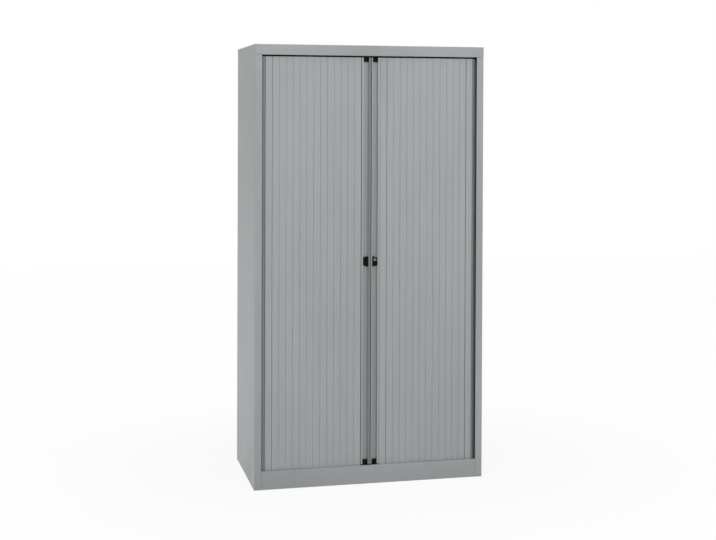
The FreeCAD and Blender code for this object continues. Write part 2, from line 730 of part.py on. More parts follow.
def lead_rail():
    """Left lead rail: hollow nose, finger channel, and the lip and bead on the slats' side."""
    length = Z_AXIS * (LEAD_TOP - LEAD_BOTTOM)
    place = across_z(LEAD_BOTTOM)
    lip = -LEAD_WIDTH + LEAD_JOINT_GAP
    wall = -CHANNEL_OUTER - LEAD_WALL
    section = rounded([
        (lip, CURTAIN_FACE, SLAT_EDGE),
        (-CHANNEL_OUTER, CURTAIN_FACE, SLAT_EDGE),
        (-CHANNEL_OUTER, CHANNEL_FLOOR, 0),
        (-NOSE_INNER, CHANNEL_FLOOR, 0),
        (-NOSE_INNER, CURTAIN_FACE, LEAD_EDGE_RADIUS),
        (-NOSE_TIP, CURTAIN_FACE, LEAD_EDGE_RADIUS),
        (-NOSE_TIP, LEAD_BACK, 0),
        (wall, LEAD_BACK, 0),
        (wall, CURTAIN_FACE + SLAT_PLATE, 0),
        (lip, CURTAIN_FACE + SLAT_PLATE, 0),
    ], place)
    neck = block(
        -LEAD_WIDTH, wall + LEAD_WALL / 2,
        JOINT_LINE - NECK / 2, JOINT_LINE + NECK / 2,
        LEAD_BOTTOM, LEAD_TOP,
    )
    bead_points = ring_points(BEAD_RADIUS, KNUCKLE_SIDES)
    bead = polygon([(u - LEAD_WIDTH, v + JOINT_LINE) for u, v in bead_points], place)
    rail = fuse(section.extrude(length), neck, bead.extrude(length))
    hollow = block(
        -NOSE_INNER + LEAD_WALL, -NOSE_TIP - LEAD_WALL,
        CURTAIN_FACE + LEAD_WALL, CHANNEL_FLOOR,
        LEAD_BOTTOM - OVERRUN, LEAD_TOP + OVERRUN,
    )
    hook_front = hook_layers()[2]
    slot = block(
        -NOSE_INNER - LEAD_WALL, 0,
        hook_front - CLEAR, CHANNEL_FLOOR,
        hook_height() - HOOK_HALF_WIDTH - CLEAR,
        hook_height() + math.hypot(hook_reach(), HOOK_HALF_WIDTH) + CLEAR,
    )
    return rail.cut(hollow).cut(slot)


def lead_caps():
    """End caps of the left lead rail: plugs in the channel with glides in the tracks, and the black foot."""
    inner = -NOSE_TIP - CAP_INSET
    outer = -LEAD_WIDTH + KNUCKLE_RADIUS + CLEAR
    front = CURTAIN_FACE + CAP_INSET
    rear = LEAD_BACK - CAP_INSET
    reach = GLIDE_WIDTH / 2 + CAP_GLIDE_EDGE
    spots = (-CHANNEL_OUTER + reach, -NOSE_INNER - reach)
    foot = block(outer, inner, front, rear, LEAD_BOTTOM - CAP_FOOT, LEAD_BOTTOM)
    plug = block(-CHANNEL_OUTER, -NOSE_INNER, front, CHANNEL_FLOOR, LEAD_BOTTOM, LEAD_BOTTOM + CAP_PLUG)
    bottom = fuse(foot, plug, *[glide(x, GROOVE_LINE, GLIDE_BOTTOM, LEAD_BOTTOM) for x in spots])
    plug = block(-CHANNEL_OUTER, -NOSE_INNER, front, CHANNEL_FLOOR, LEAD_TOP - CAP_PLUG, LEAD_TOP)
    top = fuse(plug, *[glide(x, GROOVE_LINE, LEAD_TOP, GLIDE_TOP) for x in spots])
    return Part.makeCompound([bottom, top])


def grip_body():
    """Moulded block in the right finger channel, full height at the nose and lower at the outer side."""
    tall = GRIP_HEIGHT / 2
    low = GRIP_OUTER_HEIGHT / 2
    middle = GRIP_CENTRE_HEIGHT
    bend = NOSE_INNER + GRIP_NOSE_LENGTH
    face_y = CURTAIN_FACE - GRIP_PROUD
    outline = polygon([
        (NOSE_INNER, middle + tall),
        (bend, middle + tall),
        (CHANNEL_OUTER, middle + low),
        (CHANNEL_OUTER, middle - low),
        (bend, middle - tall),
        (NOSE_INNER, middle - tall),
    ], across_y(face_y))
    body = outline.extrude(Y_AXIS * (CHANNEL_FLOOR - face_y))
    edges = [edge for edge in body.Edges if edge.BoundBox.YMax < face_y + GRIP_EDGE / 2]
    return body.makeChamfer(GRIP_EDGE, edges)


def keeper():
    """Left grip with the pocket that the hook's beak turns into."""
    hook_front = hook_layers()[2]
    pivot_x = NOSE_INNER + PIVOT_FROM_NOSE
    sweep = math.hypot(hook_reach(), HOOK_HALF_WIDTH + HOOK_BEAK) + HOOK_CLEAR
    rise = math.sqrt(sweep ** 2 - (pivot_x + NOSE_INNER) ** 2)
    pocket = block(
        pivot_x - sweep, 0,
        hook_front - CLEAR, CHANNEL_FLOOR + OVERRUN,
        hook_height() - HOOK_HALF_WIDTH - HOOK_BEAK - HOOK_CLEAR,
        hook_height() + rise,
    )
    return mirrored(grip_body()).cut(pocket)


def cylinder_axis():
    """Place (x, z) of the lock cylinder's axis."""
    return NOSE_INNER + CYLINDER_FROM_NOSE, GRIP_CENTRE_HEIGHT + CYLINDER_RISE


def lock_housing():
    """Right grip with the cylinder's bore, the cam's and hook's pocket and the hook's pivot pin."""
    pocket_front = hook_layers()[0]
    x, z = cylinder_axis()
    pivot_x = NOSE_INNER + PIVOT_FROM_NOSE
    behind = CHANNEL_FLOOR + OVERRUN - pocket_front
    bore_start = CURTAIN_FACE - GRIP_PROUD - OVERRUN
    bore = rod(CYLINDER_RADIUS + RUNNING, Vec(x, bore_start, z), Y_AXIS, pocket_front - bore_start)
    cam_pocket = rod(CAM_RADIUS + HOOK_CLEAR, Vec(x, pocket_front, z), Y_AXIS, behind)
    hook_pocket = block(
        0, pivot_x + HOOK_HALF_WIDTH + HOOK_CLEAR,
        pocket_front, CHANNEL_FLOOR + OVERRUN,
        hook_height() - HOOK_HALF_WIDTH - HOOK_CLEAR,
        hook_height() + math.hypot(hook_reach(), HOOK_HALF_WIDTH) + CLEAR,
    )
    body = grip_body().cut(bore).cut(cam_pocket).cut(hook_pocket)
    pin_start = Vec(pivot_x, pocket_front - LOCK_WALL, hook_height())
    return fuse(body, rod(PIVOT_RADIUS, pin_start, Y_AXIS, CHANNEL_FLOOR - pocket_front + LOCK_WALL))


def lock_cylinder():
    """Cylinder with its keyway and the cam that drives the hook."""
    pocket_front, cam_front = hook_layers()[:2]
    x, z = cylinder_axis()
    start = CURTAIN_FACE - GRIP_PROUD - CYLINDER_PROUD
    barrel = rod(CYLINDER_RADIUS, Vec(x, start, z), Y_AXIS, pocket_front - start)
    boss = rod(CYLINDER_NECK, Vec(x, start, z), Y_AXIS, cam_front + CAM_THICKNESS - start)
    cam = block(
        x - CAM_WIDTH / 2, x + CAM_WIDTH / 2,
        cam_front, cam_front + CAM_THICKNESS,
        z - CAM_RADIUS, z,
    )
    keyway = block(
        x - KEYWAY_WIDTH / 2, x + KEYWAY_WIDTH / 2,
        start - OVERRUN, start + KEYWAY_DEPTH,
        z - KEYWAY_LENGTH / 2, z + KEYWAY_LENGTH / 2,
    )
    return fuse(barrel, boss, cam).cut(keyway)


def lock_hook():
    """Hook bolt, drawn back upright in the right lead rail; it turns down to the left."""
    hook_front = hook_layers()[2]
    x = NOSE_INNER + PIVOT_FROM_NOSE
    low = hook_height()
    top = low + hook_reach()
    beak = x - HOOK_HALF_WIDTH - HOOK_BEAK
    arm = polygon([
        (x + HOOK_HALF_WIDTH, low),
        (x + HOOK_HALF_WIDTH, top),
        (beak, top),
        (beak, top - HOOK_BEAK_LENGTH),
        (x - HOOK_HALF_WIDTH, top - HOOK_BEAK_LENGTH),
        (x - HOOK_HALF_WIDTH, low),
    ], across_y(hook_front)).extrude(Y_AXIS * HOOK_THICKNESS)
    pivot = Vec(x, hook_front, low)
    eye = rod(HOOK_HALF_WIDTH, pivot, Y_AXIS, HOOK_THICKNESS)
    hole_start = Vec(x, hook_front - OVERRUN, low)
    hole = rod(PIVOT_RADIUS + RUNNING, hole_start, Y_AXIS, HOOK_THICKNESS + OVERRUN * 2)
    return fuse(arm, eye).cut(hole)


def main():
    """Builds every piece and writes one file for each."""
    os.makedirs("parts", exist_ok=True)
    save("top_panel", top_panel())
    save("back_panel", back_panel())
    save("base_panel", base_panel())
    save("plinth", plinth())
    save("track_screws", track_screws())
    save("foot_brackets", foot_brackets())
    save("levelling_feet", levelling_feet())
    save("shelf_clips", shelf_clips())
    for number, index in enumerate(SHELF_SLOTS, 1):
        save("shelf_%d" % number, shelf(index))
    pairs = {
        "side_panel": side_panel(),
        "inner_liner": inner_liner(),
        "bottom_track": bottom_track(),
        "top_track": top_track(),
        "lead_rail": lead_rail(),
        "lead_caps": lead_caps(),
    }
    pairs.update(curtain())
    for name, piece in pairs.items():
        save("left_" + name, piece)
        save("right_" + name, mirrored(piece))
    save("left_keeper", keeper())
    save("lock_housing", lock_housing())
    save("lock_cylinder", lock_cylinder())
    save("lock_hook", lock_hook())


main()
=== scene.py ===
import json
import logging
import math
from dataclasses import dataclass, field
from enum import Enum
from typing import Any, Iterable

import bmesh
import bpy
from mathutils import Euler, Matrix, Vector

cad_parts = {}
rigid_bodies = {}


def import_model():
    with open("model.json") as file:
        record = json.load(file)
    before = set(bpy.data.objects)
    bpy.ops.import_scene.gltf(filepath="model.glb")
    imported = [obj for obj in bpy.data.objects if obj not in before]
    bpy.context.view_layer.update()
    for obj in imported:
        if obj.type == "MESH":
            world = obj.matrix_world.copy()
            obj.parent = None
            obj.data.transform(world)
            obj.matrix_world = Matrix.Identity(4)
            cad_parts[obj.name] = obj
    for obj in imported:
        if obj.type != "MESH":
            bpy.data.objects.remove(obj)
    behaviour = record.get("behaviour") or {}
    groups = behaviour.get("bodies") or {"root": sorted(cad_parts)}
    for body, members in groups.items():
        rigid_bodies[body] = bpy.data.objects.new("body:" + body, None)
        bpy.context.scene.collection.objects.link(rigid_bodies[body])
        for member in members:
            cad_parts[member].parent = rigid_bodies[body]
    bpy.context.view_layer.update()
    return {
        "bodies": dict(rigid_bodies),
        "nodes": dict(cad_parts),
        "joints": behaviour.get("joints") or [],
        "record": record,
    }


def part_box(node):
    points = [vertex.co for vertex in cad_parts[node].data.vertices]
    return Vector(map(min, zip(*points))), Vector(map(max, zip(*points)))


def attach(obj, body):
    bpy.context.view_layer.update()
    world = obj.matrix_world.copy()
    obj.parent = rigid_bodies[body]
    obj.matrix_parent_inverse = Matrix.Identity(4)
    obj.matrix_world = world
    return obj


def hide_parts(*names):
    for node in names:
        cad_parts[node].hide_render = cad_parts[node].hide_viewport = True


log = logging.getLogger("cabinet")

Point = tuple[float, float]
Triple = tuple[float, float, float]
Corner = tuple[float, float, float]
Colour = tuple[float, float, float]
Vert = bmesh.types.BMVert
Edge = bmesh.types.BMEdge
Face = bmesh.types.BMFace

MM = 0.001
IMAGE_WIDTH = 716.0
IMAGE_HEIGHT = 540.0
SHARP_ANGLE = math.radians(32.0)
FLAT_ANGLE = math.radians(1.0)
WHITE = (1.0, 1.0, 1.0)


class Side(Enum):
    """The two sides of the cabinet, with the sign of their X."""

    LEFT = -1
    RIGHT = 1

    @property
    def word(self) -> str:
        """Name of the side as the pieces carry it."""
        return self.name.lower()


class Plane(Enum):
    """Planes that outlines are drawn in, named by the axis square to them."""

    ACROSS_X = 0
    ACROSS_Y = 1
    ACROSS_Z = 2

    def spot(self, u: float, v: float, level: float) -> Vector:
        """Place of (u, v) in the plane at this level."""
        places = (u, v)
        return Vector((*places[:self.value], level, *places[self.value:]))

    @property
    def way(self) -> Vector:
        """Direction square to the plane."""
        return self.spot(0.0, 0.0, 1.0)


def unique(items: Iterable[Any]) -> list[Any]:
    """Each item once, in the order in which they come."""
    return list(dict.fromkeys(items))


def verts_of(faces: Iterable[Face]) -> list[Vert]:
    """The points of these faces."""
    return unique(vert for face in faces for vert in face.verts)


def edges_of(faces: Iterable[Face]) -> list[Edge]:
    """The edges of these faces."""
    return unique(edge for face in faces for edge in face.edges)


def tint(colour: Colour, factor: float) -> Colour:
    """A colour made darker or lighter, at most white."""
    return tuple(min(1.0, channel * factor) for channel in colour)


class Bench:
    """A mesh in the making, in millimetres. It is turned to metres when it becomes a piece."""

    def __init__(self) -> None:
        """Starts an empty mesh."""
        self.shape = bmesh.new()

    def new_since(self, before: set[Face]) -> list[Face]:
        """Faces that weren't there before."""
        return [face for face in self.shape.faces if face not in before]

    def made_since(self, before: set[Face]) -> list[Face]:
        """Faces that weren't there before, pointing outwards."""
        bmesh.ops.recalc_face_normals(self.shape, faces=self.new_since(before))
        return self.new_since(before)

    def bevel(self, geom: list[Vert] | list[Edge], width: float, segments: int, affect: str = "EDGES",
              clamp: bool = False) -> None:
        """Rounds edges or corners; clamp holds back roundings that would meet."""
        bmesh.ops.bevel(self.shape, geom=geom, offset=width, offset_type="OFFSET", segments=segments,
                        profile=0.5, affect=affect, material=-1, clamp_overlap=clamp)

    def lift(self, grown: dict[str, Any], plane: Plane, rise: float) -> None:
        """Moves what was just extruded away from its plane."""
        tops = [item for item in grown["geom"] if isinstance(item, Vert)]
        bmesh.ops.translate(self.shape, verts=tops, vec=plane.way * rise)

    def bar(self, corners: list[Corner], plane: Plane, low: float, high: float,
            segments: int = 4) -> list[Face]:
        """Straight bar between two levels, with an outline whose corners are rounded.

        Args:
            corners: Outline as (u, v, radius).
            plane: Plane of the outline.
            low: Level where the bar starts.
            high: Level where it ends.
            segments: Steps of each rounding.

        Returns:
            The bar's faces.
        """
        before = set(self.shape.faces)
        spots = [self.shape.verts.new(plane.spot(u, v, low)) for u, v, _ in corners]
        self.shape.faces.new(spots)
        for radius in sorted({corner[2] for corner in corners if corner[2] > 0}):
            chosen = [spot for spot, corner in zip(spots, corners) if corner[2] == radius]
            self.bevel(chosen, radius, segments, "VERTICES")
        grown = bmesh.ops.extrude_face_region(self.shape, geom=self.new_since(before)[:1])
        self.lift(grown, plane, high - low)
        return self.made_since(before)

    def block(self, low: Triple, high: Triple, edge: float = 0.0, segments: int = 2) -> list[Face]:
        """Block between two corners, its edges rounded.

        Args:
            low: Lowest corner.
            high: Highest corner.
            edge: Radius of the edges.
            segments: Steps of the rounding.

        Returns:
            The block's faces.
        """
        before = set(self.shape.faces)
        spots = bmesh.ops.create_cube(self.shape, size=1.0)["verts"]
        bmesh.ops.scale(self.shape, verts=spots, vec=[b - a for a, b in zip(low, high)])
        bmesh.ops.translate(self.shape, verts=spots, vec=[(a + b) / 2 for a, b in zip(low, high)])
        if edge > 0:
            self.soften(self.made_since(before), edge, segments)
        return self.made_since(before)

    def sheet(self, path: list[Point], thickness: float, plane: Plane, low: float, high: float,
              fold: float) -> list[Face]:
        """Folded sheet with rounded folds.

        Args:
            path: Outline of one skin; the sheet grows to the right of it for a positive thickness.
            thickness: Thickness of the sheet.
            plane: Plane of the outline.
            low: Level where the sheet starts.
            high: Level where it ends.
            fold: Radius of the folds on that skin.

        Returns:
            The sheet's faces.
        """
        before = set(self.shape.faces)
        spots = [self.shape.verts.new(plane.spot(u, v, low)) for u, v in path]
        runs = [self.shape.edges.new(pair) for pair in zip(spots, spots[1:])]
        self.lift(bmesh.ops.extrude_edge_only(self.shape, edges=runs), plane, high - low)
        folds = [edge for edge in edges_of(self.new_since(before)) if len(edge.link_faces) == 2]
        self.bevel(folds, fold, 4)
        inwards = -thickness if plane is Plane.ACROSS_Y else thickness
        bmesh.ops.solidify(self.shape, geom=self.new_since(before), thickness=inwards)
        return self.made_since(before)

    def lathe(self, profile: list[Point], centre: Point, plane: Plane, steps: int = 32) -> None:
        """Turned form about an axis square to a plane.

        Args:
            profile: Pairs of radius and level, from one end of the form to the other.
            centre: Place of the axis in the plane.
            plane: Plane square to the axis.
            steps: Facets round the axis.
        """
        before = set(self.shape.faces)
        u, v = centre
        spots = [self.shape.verts.new(plane.spot(u + radius, v, level)) for radius, level in profile]
        runs = [self.shape.edges.new(pair) for pair in zip(spots, spots[1:])]
        bmesh.ops.spin(self.shape, geom=spots + runs, cent=plane.spot(u, v, 0.0), axis=plane.way,
                       dvec=(0, 0, 0), angle=math.tau, steps=steps, use_merge=True, use_duplicate=False)
        bmesh.ops.remove_doubles(self.shape, verts=verts_of(self.new_since(before)), dist=0.0005)
        self.made_since(before)

    def hexagon(self, centre: Point, flats: float, low: float, high: float) -> None:
        """Upright nut or bolt head with rounded corners.

        Args:
            centre: Its axis.
            flats: Half its width across the flats.
            low: Its lower face.
            high: Its upper face.
        """
        (x, y), radius = centre, flats / math.cos(math.pi / 6)
        turns = [math.pi * (2 * i + 1) / 6 for i in range(6)]
        corners = [(x + radius * math.cos(a), y + radius * math.sin(a), radius * 0.08) for a in turns]
        self.soften(self.bar(corners, Plane.ACROSS_Z, low, high, 2), flats * 0.07, 1, 70.0)

    def soften(self, faces: list[Face], width: float, segments: int = 2, angle: float = 40.0) -> None:
        """Rounds the sharp edges of faces.

        Args:
            faces: The faces.
            width: Width of the rounding.
            segments: Its steps.
            angle: Least turn of an edge that is rounded, in degrees.
        """
        least = math.radians(angle)
        sharp = [edge for edge in edges_of(faces) if edge.is_manifold and edge.calc_face_angle(0.0) > least]
        self.bevel(sharp, width, segments, clamp=True)

    def copy_node(self, node: str) -> list[Face]:
        """Takes over the shape of a CAD node, with its loose triangles joined.

        Args:
            node: The node's name.

        Returns:
            The faces.
        """
        before = set(self.shape.faces)
        self.shape.from_mesh(bpy.data.objects[node].data)
        verts = verts_of(self.new_since(before))
        bmesh.ops.scale(self.shape, verts=verts, vec=(1 / MM, 1 / MM, 1 / MM))
        bmesh.ops.remove_doubles(self.shape, verts=verts, dist=0.001)
        made = self.new_since(before)
        bmesh.ops.dissolve_limit(self.shape, angle_limit=FLAT_ANGLE,
                                 verts=verts_of(made), edges=edges_of(made))
        return self.new_since(before)

    def move(self, matrix: Matrix, faces: list[Face] | None = None) -> None:
        """Places the mesh, or only some faces of it."""
        verts = self.shape.verts[:] if faces is None else verts_of(faces)
        bmesh.ops.transform(self.shape, matrix=matrix, verts=verts)

    def flip(self, side: Side) -> None:
        """Turns a left piece into a right one where the side asks for it.

        Args:
            side: The side that the piece is for.
        """
        if side is Side.RIGHT:
            self.move(Matrix.Diagonal((-1, 1, 1, 1)))
            bmesh.ops.reverse_faces(self.shape, faces=self.shape.faces[:])

    def both_sides(self) -> None:
        """Adds the mirror image on the right."""
        everything = self.shape.verts[:] + self.shape.edges[:] + self.shape.faces[:]
        bmesh.ops.mirror(self.shape, geom=everything, matrix=Matrix.Identity(4), merge_dist=-1.0, axis="X")
        bmesh.ops.recalc_face_normals(self.shape, faces=self.shape.faces[:])

    def note_recess(self, face: float = 0.0) -> None:
        """Notes how far each point lies behind the front face, for the finishes that paint shade in there.

        Args:
            face: Depth of the front face.
        """
        layer = self.shape.verts.layers.float.new("recess")
        for vert in self.shape.verts:
            vert[layer] = vert.co.y - face

    def mesh(self, name: str) -> bpy.types.Mesh:
        """Finishes the mesh in metres, smooth between its sharp edges.

        Args:
            name: The mesh's name.

        Returns:
            The mesh.
        """
        bmesh.ops.scale(self.shape, verts=self.shape.verts[:], vec=(MM, MM, MM))
        mesh = bpy.data.meshes.new(name)
        self.shape.to_mesh(mesh)
        self.shape.free()
        mesh.shade_smooth()
        mesh.set_sharp_from_angle(angle=SHARP_ANGLE)
        return mesh


@dataclass
class Workshop:
    """Turns finished benches into pieces that ride on the frame."""

    finishes: "Finishes"

    def carve(self, bench: Bench, cutter: Bench) -> Bench:
        """Cuts one bench's shape out of another.

        Args:
            bench: What is cut.
            cutter: What is taken away.

        Returns:
            A new bench with the result.
        """
        stock = bpy.data.objects.new("stock", bench.mesh("stock"))
        tool = bpy.data.objects.new("tool", cutter.mesh("tool"))
        for item in (stock, tool):
            bpy.context.scene.collection.objects.link(item)
        cut = stock.modifiers.new("cut", "BOOLEAN")
        cut.operation = "DIFFERENCE"
        cut.solver = "EXACT"
        cut.use_self = True
        cut.object = tool
        graph = bpy.context.evaluated_depsgraph_get()
        result = bpy.data.meshes.new_from_object(stock.evaluated_get(graph))
        for item in (stock, tool):
            bpy.data.objects.remove(item)
        carved = Bench()
        carved.shape.from_mesh(result)
        bpy.data.meshes.remove(result)
        carved.move(Matrix.Diagonal((1 / MM, 1 / MM, 1 / MM, 1)))
        bmesh.ops.remove_doubles(carved.shape, verts=carved.shape.verts[:], dist=0.002)
        return carved

    def deliver(self, bench: Bench, name: str, body: str, slot: str, *nodes: str,
                finish: str | None = None) -> None:
        """Makes a piece of a bench, gives it its finish and lets it ride.

        Args:
            bench: The finished shape.
            name: The piece's name.
            body: The CAD body that carries it.
            slot: The record's material slot.
            nodes: CAD nodes that it stands for.
            finish: A finish other than the slot's own.
        """
        piece = bpy.data.objects.new(name, bench.mesh(name))
        bpy.context.scene.collection.objects.link(piece)
        piece.data.materials.append(self.finishes.by_slot[finish or slot])
        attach(piece, body)
        if nodes:
            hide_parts(*nodes)
        log.info("%s: %d faces on %s", name, len(piece.data.polygons), body)


class Socket:
    """A shader value that adds Math nodes for the operators used on it."""

    def __init__(self, shader: "Shader", output: bpy.types.NodeSocket) -> None:
        """Wraps an output of a builder's node."""
        self.shader = shader
        self.output = output

    def math(self, operation: str, *values: "Socket | float") -> "Socket":
        """Adds one Math node with these values."""
        return self.shader.node("ShaderNodeMath", {"operation": operation}, dict(enumerate(values)))

    def __add__(self, other: "Socket | float") -> "Socket":
        """Sum."""
        return self.math("ADD", self, other)

    def __mul__(self, other: "Socket | float") -> "Socket":
        """Product."""
        return self.math("MULTIPLY", self, other)

    __rmul__ = __mul__

    def __sub__(self, other: "Socket | float") -> "Socket":
        """Difference."""
        return self.math("SUBTRACT", self, other)

    def __rsub__(self, other: "Socket | float") -> "Socket":
        """Difference with this value taken away."""
        return self.math("SUBTRACT", other, self)

    def clamp(self) -> "Socket":
        """This value kept between 0 and 1."""
        return self.math("MAXIMUM", self.math("MINIMUM", self, 1.0), 0.0)

    def step(self, low: float, high: float) -> "Socket":
        """Smooth rise from 0 at low to 1 at high."""
        settings = {"interpolation_type": "SMOOTHSTEP"}
        return self.shader.node("ShaderNodeMapRange", settings, {0: self, 1: low, 2: high})


class Shader:
    """Builds the nodes of one material, or of the world."""

    def __init__(self, name: str, world: bool = False) -> None:
        """Starts without nodes.

        Args:
            name: Name of the material or world.
            world: Whether it is a world.
        """
        self.world = world
        self.owner = (bpy.data.worlds if world else bpy.data.materials).new(name)
        self.owner.use_nodes = True
        self.tree = self.owner.node_tree
        self.tree.nodes.clear()
        self.place = self.raw("ShaderNodeTexCoord").outputs["Object"]

    def raw(self, kind: str, settings: dict[str, Any] | None = None,
            inputs: dict[Any, Any] | None = None) -> bpy.types.Node:
        """Adds a node, sets it and links it.

        Args:
            kind: The node's type.
            settings: Its own settings, set first.
            inputs: Values or links by socket name or number.

        Returns:
            The node.
        """
        node = self.tree.nodes.new(kind)
        for key, value in (settings or {}).items():
            setattr(node, key, value)
        for key, value in (inputs or {}).items():
            self.feed(node.inputs[key], value)
        return node

    def feed(self, spot: bpy.types.NodeSocket, value: Any) -> None:
        """Links a value to an input, or sets the input to it.

        Args:
            spot: The input.
            value: A Socket, a node's output, or a plain value.
        """
        if isinstance(value, Socket):
            value = value.output
        if isinstance(value, bpy.types.NodeSocket):
            self.tree.links.new(value, spot)
        else:
            spot.default_value = value

    def node(self, kind: str, settings: dict[str, Any] | None = None,
             inputs: dict[Any, Any] | None = None, output: int | str = 0) -> Socket:
        """Adds a node as raw does, and gives one of its results, by name or number."""
        return Socket(self, self.raw(kind, settings, inputs).outputs[output])

    def mapped(self, scale: Triple, shift: Triple = (0, 0, 0)) -> Socket:
        """Object coordinates, scaled and shifted along each axis."""
        inputs = {"Vector": self.place, "Scale": scale, "Location": shift}
        return self.node("ShaderNodeMapping", None, inputs)

    def noise(self, scale: Triple, detail: float = 2.0, rough: float = 0.5,
              shift: Triple = (0, 0, 0)) -> Socket:
        """Soft noise from 0 to 1, with the scale in cells to the metre along each axis."""
        inputs = {"Vector": self.mapped(scale, shift), "Scale": 1.0, "Detail": detail, "Roughness": rough}
        return self.node("ShaderNodeTexNoise", None, inputs)

    def height(self) -> Socket:
        """Height above the floor in metres."""
        return self.node("ShaderNodeSeparateXYZ", None, {0: self.place}, "Z")

    def recess(self) -> Socket:
        """Millimetres behind the piece's front face, or 0 where the piece doesn't note them."""
        settings = {"attribute_type": "GEOMETRY", "attribute_name": "recess"}
        return self.node("ShaderNodeAttribute", settings, None, "Fac")

    def seen(self) -> Socket:
        """Tells apart what is looked at from what lights the object.

        Returns:
            1 for what the camera, a mirror or glass sees, 0 for light that falls on the object.
        """
        paths = self.raw("ShaderNodeLightPath").outputs
        rays = ("Camera", "Glossy", "Transmission")
        camera, glossy, through = (Socket(self, paths[f"Is {ray} Ray"]) for ray in rays)
        return (camera + glossy + through).clamp()

    def mix(self, factor: "Socket | float", one: "Socket | Colour", two: "Socket | Colour") -> Socket:
        """Mixes two colours.

        Args:
            factor: Share of the second.
            one: First colour.
            two: Second colour.

        Returns:
            The mixed colour.
        """
        node = self.raw("ShaderNodeMix", {"data_type": "RGBA", "clamp_factor": True})
        for key, value in (("Factor", factor), ("A", one), ("B", two)):
            spot = next(s for s in node.inputs if s.name == key and s.enabled)
            self.feed(spot, (*value, 1.0) if isinstance(value, tuple) else value)
        return Socket(self, next(s for s in node.outputs if s.enabled))

    def bump(self, height: Socket, distance: float, strength: float = 1.0,
             below: Socket | None = None) -> Socket:
        """Surface relief.

        Args:
            height: The relief between 0 and 1.
            distance: Depth of the relief in metres.
            strength: Share of it that shows.
            below: Relief under this one.

        Returns:
            The bent normal.
        """
        inputs: dict[Any, Any] = {"Height": height, "Distance": distance, "Strength": strength}
        if below is not None:
            inputs["Normal"] = below
        return self.node("ShaderNodeBump", None, inputs)

    def surface(self, inputs: dict[Any, Any]) -> bpy.types.Material:
        """Ends the material with a principled surface.

        Args:
            inputs: Values or links by socket name.

        Returns:
            The finished material.
        """
        body = self.raw("ShaderNodeBsdfPrincipled", None, inputs)
        self.raw("ShaderNodeOutputMaterial", None, {"Surface": body.outputs[0]})
        return self.owner

    def backed(self, share: Socket, body: bpy.types.Node) -> None:
        """Ends a floor or world that shows plain white for a share of what is seen.

        Args:
            share: Share of the white.
            body: What shows for the rest.
        """
        source, end = ("ShaderNodeBackground", "World") if self.world else ("ShaderNodeEmission", "Material")
        white = self.raw(source, None, {"Color": (*WHITE, 1.0), "Strength": 1.0})
        mixed = self.raw("ShaderNodeMixShader", None, {0: share, 1: body.outputs[0], 2: white.outputs[0]})
        self.raw(f"ShaderNodeOutput{end}", None, {"Surface": mixed.outputs[0]})


@dataclass(frozen=True)
class PowderCoat:
    """Silver-grey powder coat with a fine orange peel, dust towards the floor, painted shade in its lowest
    few centimetres and light scuffs.
    """

    name: str
    colour: Colour
    roughness: float = 0.42
    peel: float = 0.00006
    dirt: float = 0.10
    scuff: float = 0.35
    # share of the painted shade near the floor
    foot: float = 0.14

    def build(self) -> bpy.types.Material:
        """Makes the material.

        Returns:
            The material.
        """
        s = Shader(self.name)
        cloud = s.noise((2.2, 2.2, 1.4), 3.0, 0.55)
        speck = s.noise((900, 900, 900), 1.0)
        height = s.height()
        low = 1.0 - height.step(0.0, 0.55)
        grime = s.noise((9, 9, 5), 4.0, 0.6).step(0.42, 0.75) * low * self.dirt
        scratch = s.noise((340, 340, 5), 2.0, 0.4, (3, 7, 1)).step(0.70, 0.76)
        patch = s.noise((5, 5, 3), 2.0, 0.5, (11, 2, 5)).step(0.52, 0.72)
        scuff = scratch * patch * self.scuff * (1.0 - height.step(0.05, 1.3) * 0.75)
        tone = s.mix(cloud.step(0.30, 0.70), tint(self.colour, 0.94), tint(self.colour, 1.05))
        tone = s.mix(speck.step(0.35, 0.70) * 0.10, tone, tint(self.colour, 0.86))
        tone = s.mix(grime, tone, (0.20, 0.19, 0.17))
        # painted shade: the paint darkens towards dark grey in its lowest 16 cm, most below 3 cm, where less
        # light falls near the floor
        tone = s.mix((1.0 - height.step(0.03, 0.16)) * self.foot, tone, (0.20, 0.21, 0.21))
        tone = s.mix(scuff, tone, tint(self.colour, 1.35))
        rough = cloud * 0.10 + (self.roughness - 0.05) + grime * 0.8 - scuff * 0.25
        peel = s.bump(s.noise((620, 620, 620), 2.0, 0.45), self.peel)
        wave = s.bump(s.noise((14, 14, 6), 1.0), 0.0006, 0.35, peel)
        return s.surface({
            "Base Color": tone, "Roughness": rough, "Metallic": 0.0, "Normal": wave,
            "Specular IOR Level": 0.30, "Coat Weight": 0.05, "Coat Roughness": 0.35,
        })


